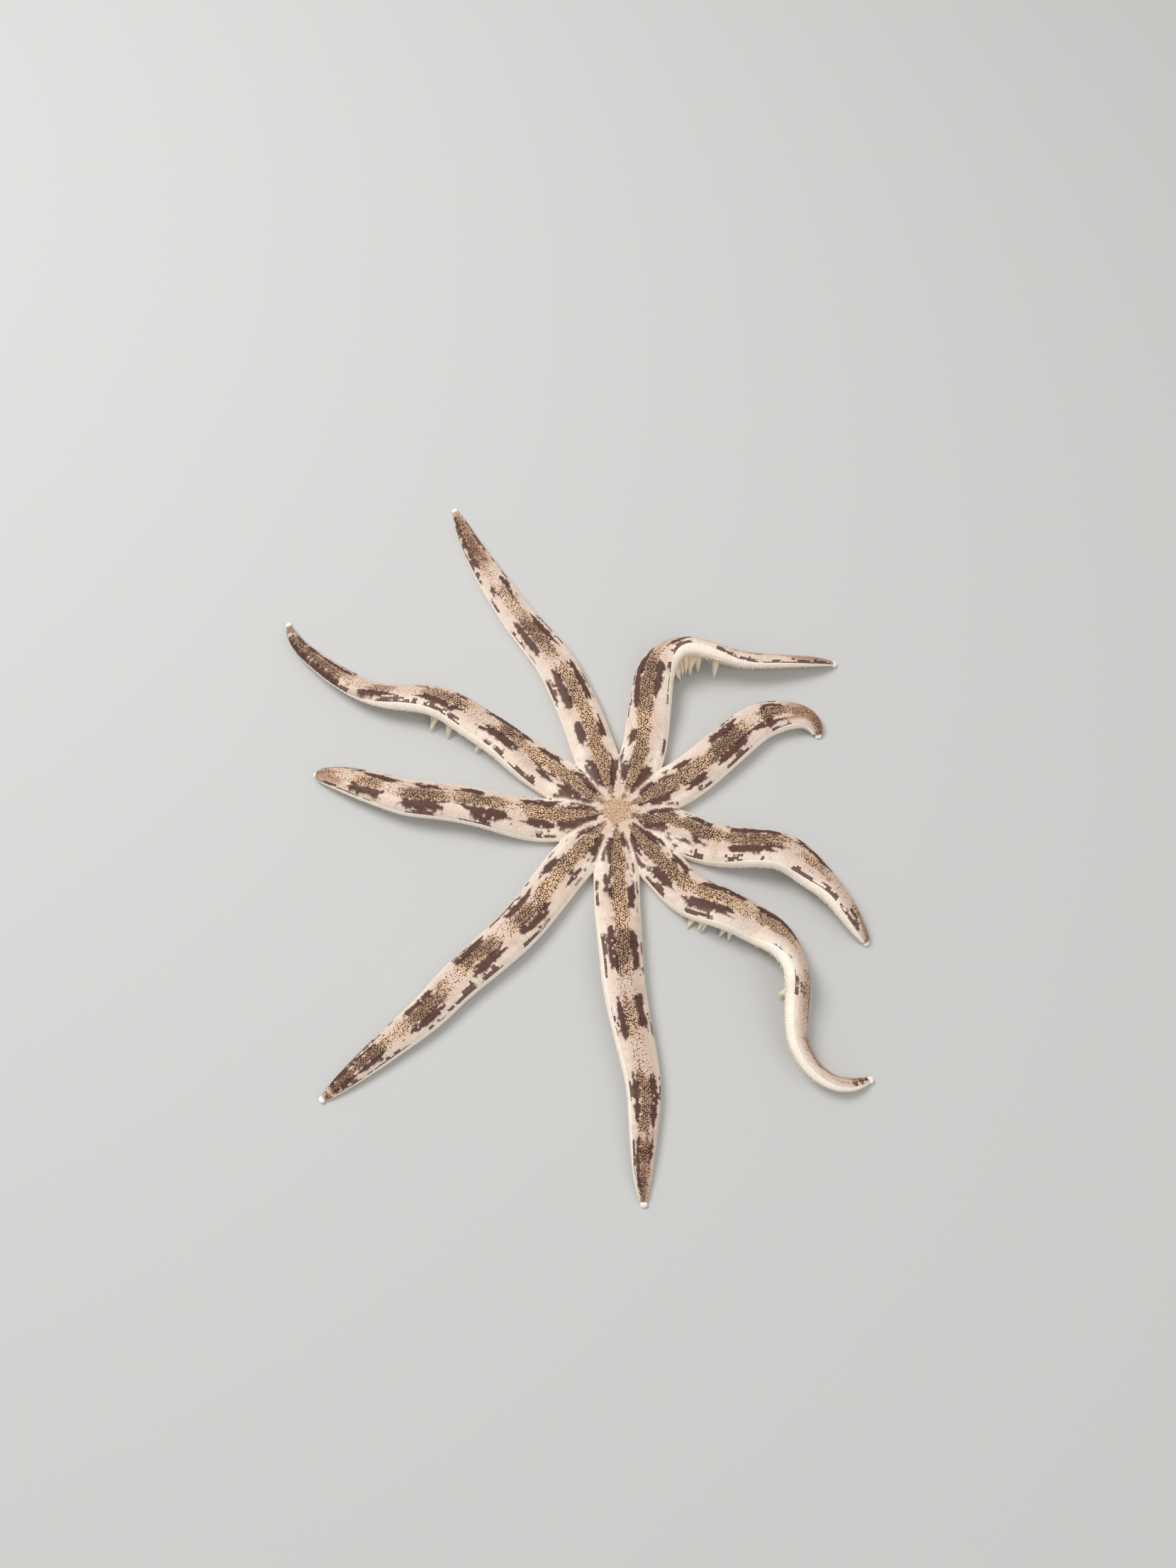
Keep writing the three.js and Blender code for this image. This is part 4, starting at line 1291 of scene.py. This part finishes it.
class STARFISH_OT_margins(bpy.types.Operator):
    """Makes the white marginal plates along both edges of each arm, with their spines"""
    bl_idname = "starfish.margins"
    bl_label = "Marginal plates"

    def execute(self, context):
        sizes, colours = context.scene.starfish_sizes, context.scene.starfish_colours
        material = material_named("limy_margins", marginal_plates, colours)
        for arm in arms:
            rng = np.random.default_rng(200 + arm.index)
            pile = Pile()
            stations = row_stations(arm, RIBS_FROM, arm.length - COAT_END, sizes.plate_pitch / MM)
            inner = row_stations(arm, MOUTH_RADIUS + 1, DISC_REACH, sizes.plate_pitch / MM)
            for side in (1, -1):
                self.add_ribs(pile, arm, stations, side, sizes, rng)
                self.add_oral_ribs(pile, arm, inner, side, sizes, rng)
                self.add_fringe(pile, arm, stations, side, sizes, rng)
            dress(pile.mesh(f"margin_arm_{arm.index + 1}"), material, "arm_skin")
        return {"FINISHED"}

    def add_ribs(self, pile, arm, stations, side, sizes, rng):
        """One raised rib for each plate, from the back's edge round the side to the furrow's lip."""
        edge = BACK_EDGE + side * arm.drift_at(stations, 1.0)[:, None]
        share = np.array([-0.045, 0.01, 0.09, 0.18, 0.27, 0.39, 0.52, 0.75, 1])
        q = edge + (FURROW_LIP - edge) * share
        self.lay_ribs(pile, arm, stations, q, [0.6, 1, 1, 1, 1, 1, 1, 0.9, 0], side, sizes, rng)

    def add_oral_ribs(self, pile, arm, stations, side, sizes, rng):
        """The ribs under the disc, which start where the next arm's meet them."""
        sole = np.linspace(Section.round_to[-1], SOLE_FROM, 200)
        reach = Section.at(sole)[0] * ARM_WIDTH / 2
        start = np.interp(stations * math.tan(math.pi / len(ARMS)), reach, sole)
        keep = start < FURROW_LIP - 0.6
        share = np.array([0, 0.08, 0.35, 0.65, 0.92, 1])
        q = start[keep, None] + (FURROW_LIP - start[keep, None]) * share
        self.lay_ribs(pile, arm, stations[keep], q, [0.2, 0.8, 0.9, 0.9, 0.8, 0], side, sizes, rng, least=0.6)

    def lay_ribs(self, pile, arm, stations, q, fall, side, sizes, rng, least=1.0):
        """Ribs across the arm at the stations, through rows of distances q round the section. least is the
        share of a rib that has to lie on its own arm."""
        # A rib's section as [share of its half width, share of its height], its rim, a painted shade towards
        # its sunken edges, and its sharp edges.
        profile = np.array([(-1.08, -0.7), (-1.04, 0.94), (0, 1), (1.04, 0.94), (1.08, -0.7)])
        ribs, steps = q.shape
        rim = np.tile([0.4, 0.16, 0, 0.16, 0.4], steps)
        crease = np.tile([False, True, False, True, False], steps)
        s, q = np.repeat(stations, steps), q.ravel() * side
        points, normals, _ = arm.surface(s, q, sizes)
        keep = on_own_arm(arm, points, 0).reshape(ribs, steps).mean(1) >= least
        scale = arm.scale_at(s)
        half = (0.5 * sizes.plate_pitch / MM * narrowed(scale))[:, None] * arm.stretch(s, q, sizes)
        tall = RIB_HEIGHT * np.minimum(1, 1.3 * scale) * np.tile(fall, ribs)
        verts = (points[:, None] + half[:, None] * profile[None, :, :1] * side
                 + normals[:, None] * (tall[:, None] * profile[None, :, 1])[..., None])
        verts = verts.reshape(ribs, -1, 3)[keep]
        count = len(verts)
        place = bake_place(arm.index, stations[keep], np.full(count, RIB_ROUND * side))
        pile.add(verts, rib_shape(steps, len(profile)), white_marks(count), rng.uniform(0.97, 1.03, count),
                 rim, place, crease)

    def add_fringe(self, pile, arm, stations, side, sizes, rng):
        """Rows of spines down the edge: they lie close and point along the arm, and a few stand out."""
        for place, lean, length, share_out in FRINGES:
            s = stations + rng.normal(0, 0.12, len(stations))
            q = place * side + rng.normal(0, 0.15, len(s))
            points, normals, ahead = arm.surface(s, q, sizes)
            keep = on_own_arm(arm, points, FRINGE_FROM)
            points, normals, ahead, s, q = (values[keep] for values in (points, normals, ahead, s, q))
            scale = np.minimum(1, 1.2 * arm.scale_at(s))
            count = len(s)
            out = rng.random((count, 1)) < share_out
            direction = ahead * rng.uniform(0.7, 1.1, (count, 1)) + normals * np.where(
                out, rng.uniform(0.6, 1.3, (count, 1)), lean * rng.uniform(0.5, 1.3, (count, 1)))
            add_spines(pile, arm.index, s, q, points + normals * 0.24, direction,
                       length * sizes.spine_length / MM * scale * rng.uniform(0.8, 1.1, count),
                       0.13 * scale + 0.02, rng)


class STARFISH_OT_underside(bpy.types.Operator):
    """Makes the spines of the underside: beside the furrows, on the marginal plates and round the mouth"""
    bl_idname = "starfish.underside"
    bl_label = "Underside spines"

    def execute(self, context):
        sizes, colours = context.scene.starfish_sizes, context.scene.starfish_colours
        material = material_named("limy_margins", marginal_plates, colours)
        pile = Pile()
        rng = np.random.default_rng(300)
        for arm in arms:
            stations = row_stations(arm, MOUTH_RADIUS + 0.5, arm.length - COAT_END, 1.15)
            for side in (1, -1):
                for place, length, inward, shift in SOLE_SPINES:
                    self.add_row(pile, arm, stations + shift, side, sizes, rng, place, length, inward)
        self.add_mouth(pile, rng)
        dress(pile.mesh("underside_spines"), material, "arm_skin")
        return {"FINISHED"}

    def add_row(self, pile, arm, stations, side, sizes, rng, place, length, inward):
        """One row of spines along one side of the sole."""
        s = stations + rng.normal(0, 0.08, len(stations))
        q = np.full(len(s), place * side)
        points, normals, ahead = arm.surface(s, q, sizes)
        keep = on_own_arm(arm, points, MOUTH_RADIUS)
        points, _, hit = settle(points, normals)
        keep &= hit
        points, normals, ahead, s, q = (values[keep] for values in (points, normals, ahead, s, q))
        across = np.cross(normals, ahead) * side
        direction = normals * 0.55 - across * inward + ahead * rng.uniform(0.1, 0.5, (len(s), 1))
        scale = np.minimum(1, 1.2 * arm.scale_at(s))
        add_spines(pile, arm.index, s, q, points, direction, length * scale, 0.14 * scale + 0.02, rng)

    def add_mouth(self, pile, rng):
        """Jaw spines that point in over the mouth from between the furrows, in three rows of three."""
        headings = np.radians(sorted(facts["heading"] % 360 for facts in ARMS))
        between = (headings + np.append(headings[1:], headings[0] + 2 * np.pi)) / 2
        for heading in between:
            fan = heading + np.radians([-7, 0, 7])
            count = len(fan)
            out = np.column_stack([np.cos(fan), np.sin(fan), np.zeros(count)])
            for radius in MOUTH_RADIUS + 0.2 + 0.6 * np.arange(3):
                add_spines(pile, 0, np.full(count, radius), np.full(count, JAW_PLACE),
                           np.append(CENTRE, 0.8) + out * radius, -out + np.array([0, 0, -0.25]),
                           np.full(count, 1.5), np.full(count, 0.2), rng)


FOOT_STATIONS = np.linspace(0, 1, 6)
FOOT_SIDES = 6
# thick: a foot's half width from its root to its tip. flat: how thin it is for that. sway: how far its tip
# strays along the arm. Those that show from above are broad and press against each other.
HANGING = dict(thick=0.62 * (1 - FOOT_STATIONS ** 2.2) ** 0.9 + 0.07, flat=0.8, sway=0.5)
SPREAD = dict(thick=1.7 * (1 - FOOT_STATIONS ** 2.8) + 0.15, flat=0.26, sway=1.0)


class STARFISH_OT_tube_feet(bpy.types.Operator):
    """Makes two rows of pointed tube feet in each furrow, and those that reach out from under an arm"""
    bl_idname = "starfish.tube_feet"
    bl_label = "Tube feet"

    def execute(self, context):
        sizes, colours = context.scene.starfish_sizes, context.scene.starfish_colours
        rng = np.random.default_rng(400)
        pile = Pile()
        for arm in arms:
            stations = row_stations(arm, 5.0, arm.length - 6, sizes.foot_pitch / MM)
            for side, name in ((1, "right_feet"), (-1, "left_feet")):
                self.add_feet(pile, arm, stations + 0.4 * side, side, HANGING, rng)
                shown = np.array(arm.facts.get(name, []), float)
                if len(shown):
                    self.add_feet(pile, arm, shown, side, SPREAD, rng)
        dress(pile.mesh("tube_feet"), material_named("moist_tube_foot_flesh", soft_feet, colours), "arm_skin")
        return {"FINISHED"}

    def add_feet(self, pile, arm, s, side, kind, rng):
        """Feet from the furrow at each s: hanging ones lean over its lip, spread ones reach past the edge."""
        origin, ahead, across, up, half, height = arm.frames(s)
        count = len(s)
        scale = arm.scale_at(s)

        def on_section(out, level):
            """Points at this share of the half width out, and this share of the height over the sole."""
            return (origin + across * (side * out * half)[:, None]
                    + up * ((level - SECTION_PIVOT) * height)[:, None])

        root, lip, edge = on_section(0.13, 0.24), on_section(FURROW_HALF, 0), on_section(0.97, 0.15)
        outward = unit(np.column_stack([across[:, :2] * side, np.zeros(count)]))
        to_edge = ((edge - root) * outward).sum(1, keepdims=True)
        if kind is SPREAD:
            reach = to_edge + rng.uniform(0.6, 2.8, (count, 1))
        else:
            reach = rng.uniform(0.15, 0.45, (count, 1)) * to_edge
        tip = root + outward * reach + ahead * rng.normal(0, kind["sway"], (count, 1))
        if kind is SPREAD:
            lowest = 0.15 + 0.3 * root[:, 2] * rng.random(count)
        else:
            lowest = np.maximum(0.15, root[:, 2] - 2.0)
        tip[:, 2] = np.minimum(root[:, 2] - 0.5, lowest)
        # Each bends in one curve from its root round the furrow's lip to its tip.
        bend = 0.4 * root + 0.6 * lip - up * 0.2
        t = FOOT_STATIONS[None, :, None]
        line = ((1 - t) ** 2) * root[:, None] + 2 * t * (1 - t) * bend[:, None] + t ** 2 * tip[:, None]
        along = unit(np.gradient(line, axis=1))
        first = unit(np.cross(along, ahead[:, None]))
        second = np.cross(along, first)
        turn = np.arange(FOOT_SIDES)[:, None] * 2 * np.pi / FOOT_SIDES
        ring = first[:, :, None] * np.cos(turn) * kind["flat"] + second[:, :, None] * np.sin(turn)
        verts = line[:, :, None] + ring * kind["thick"][:, None, None] * scale[:, None, None, None]
        verts = np.concatenate([verts.reshape(count, -1, 3), tip[:, None]], 1)
        # Painted light: each foot pales towards its tip, which lies in the arm's shadow.
        rim = np.append(np.repeat(FOOT_STATIONS * 0.5, FOOT_SIDES), 0.5)
        pile.add(verts, ring_faces(FOOT_SIDES, len(FOOT_STATIONS)), np.zeros((count, 4)), np.ones(count), rim,
                 bake_place(arm.index, s, np.full(count, FOOT_PLACE * side)))


PLATE_GROOVE = 0.12              # how deep the groove along the top of a terminal plate is


class STARFISH_OT_terminal_plates(bpy.types.Operator):
    """Makes the white bead that caps each arm"""
    bl_idname = "starfish.terminal_plates"
    bl_label = "Terminal plates"

    def execute(self, context):
        colours = context.scene.starfish_colours
        pile = Pile()
        sides, rings = 20, 11
        tilt = np.linspace(0.12, np.pi, rings)
        shape, faces = raised_shape(circle(sides), [(math.sin(a), -math.cos(a)) for a in tilt])
        groove = (np.abs(shape[:, 1]) < 0.25) & (shape[:, 2] > 0)
        half = np.array([[PLATE_LENGTH, PLATE_WIDTH, PLATE_HEIGHT]]) / 2
        for arm in arms:
            s = np.array([arm.length - PLATE_LENGTH / 2])
            heading = arm.heading_at(s)
            ahead = np.column_stack([np.cos(heading), np.sin(heading), [0]])
            place = np.column_stack([arm.path_at(s), [PLATE_HEIGHT / 2 - 0.05]])
            verts = place_shapes(shape, place, ahead, np.array([[0, 0, 1.0]]), half)
            verts[0, groove, 2] -= PLATE_GROOVE
            pile.add(verts, faces, np.zeros((1, 4)), np.ones(1), np.zeros(len(shape)),
                     bake_place(arm.index, s, np.zeros(1)))
        dress(pile.mesh("terminal_plates"), material_named("bare_calcite", bare_plate, colours),
              "terminal_plate", *TIP_PLATES)
        return {"FINISHED"}


class STARFISH_PT_panel(bpy.types.Panel):
    """Lists the starfish's settings and pieces in the sidebar"""
    bl_idname = "STARFISH_PT_panel"
    bl_label = "Sand starfish"
    bl_space_type = "VIEW_3D"
    bl_region_type = "UI"
    bl_category = "Starfish"

    def draw(self, context):
        for group in (getattr(context.scene, name) for name in GROUPS):
            box = self.layout.box()
            for name in group.__annotations__:
                box.prop(group, name)
        for operator in OPERATORS:
            self.layout.operator(operator.bl_idname)


GROUPS = {"starfish_sizes": StarfishSizes, "starfish_colours": StarfishColours,
          "starfish_stage": StarfishStage}
OPERATORS = [STARFISH_OT_stage, STARFISH_OT_skin, STARFISH_OT_arm_coat, STARFISH_OT_disc_coat,
             STARFISH_OT_margins, STARFISH_OT_underside, STARFISH_OT_tube_feet, STARFISH_OT_terminal_plates]


def register():
    for group in GROUPS.values():
        bpy.utils.register_class(group)
    for name, group in GROUPS.items():
        setattr(bpy.types.Scene, name, bpy.props.PointerProperty(type=group))
    for cls in OPERATORS + [STARFISH_PT_panel]:
        bpy.utils.register_class(cls)


def unregister():
    for cls in [STARFISH_PT_panel] + OPERATORS[::-1]:
        bpy.utils.unregister_class(cls)
    for name, group in GROUPS.items():
        delattr(bpy.types.Scene, name)
        bpy.utils.unregister_class(group)


def main():
    """Registers the add-on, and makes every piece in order."""
    register()
    bpy.ops.starfish.stage()
    bpy.ops.starfish.skin()
    bpy.ops.starfish.arm_coat()
    bpy.ops.starfish.disc_coat()
    bpy.ops.starfish.margins()
    bpy.ops.starfish.underside()
    bpy.ops.starfish.tube_feet()
    bpy.ops.starfish.terminal_plates()


if __name__ == "__main__":
    main()
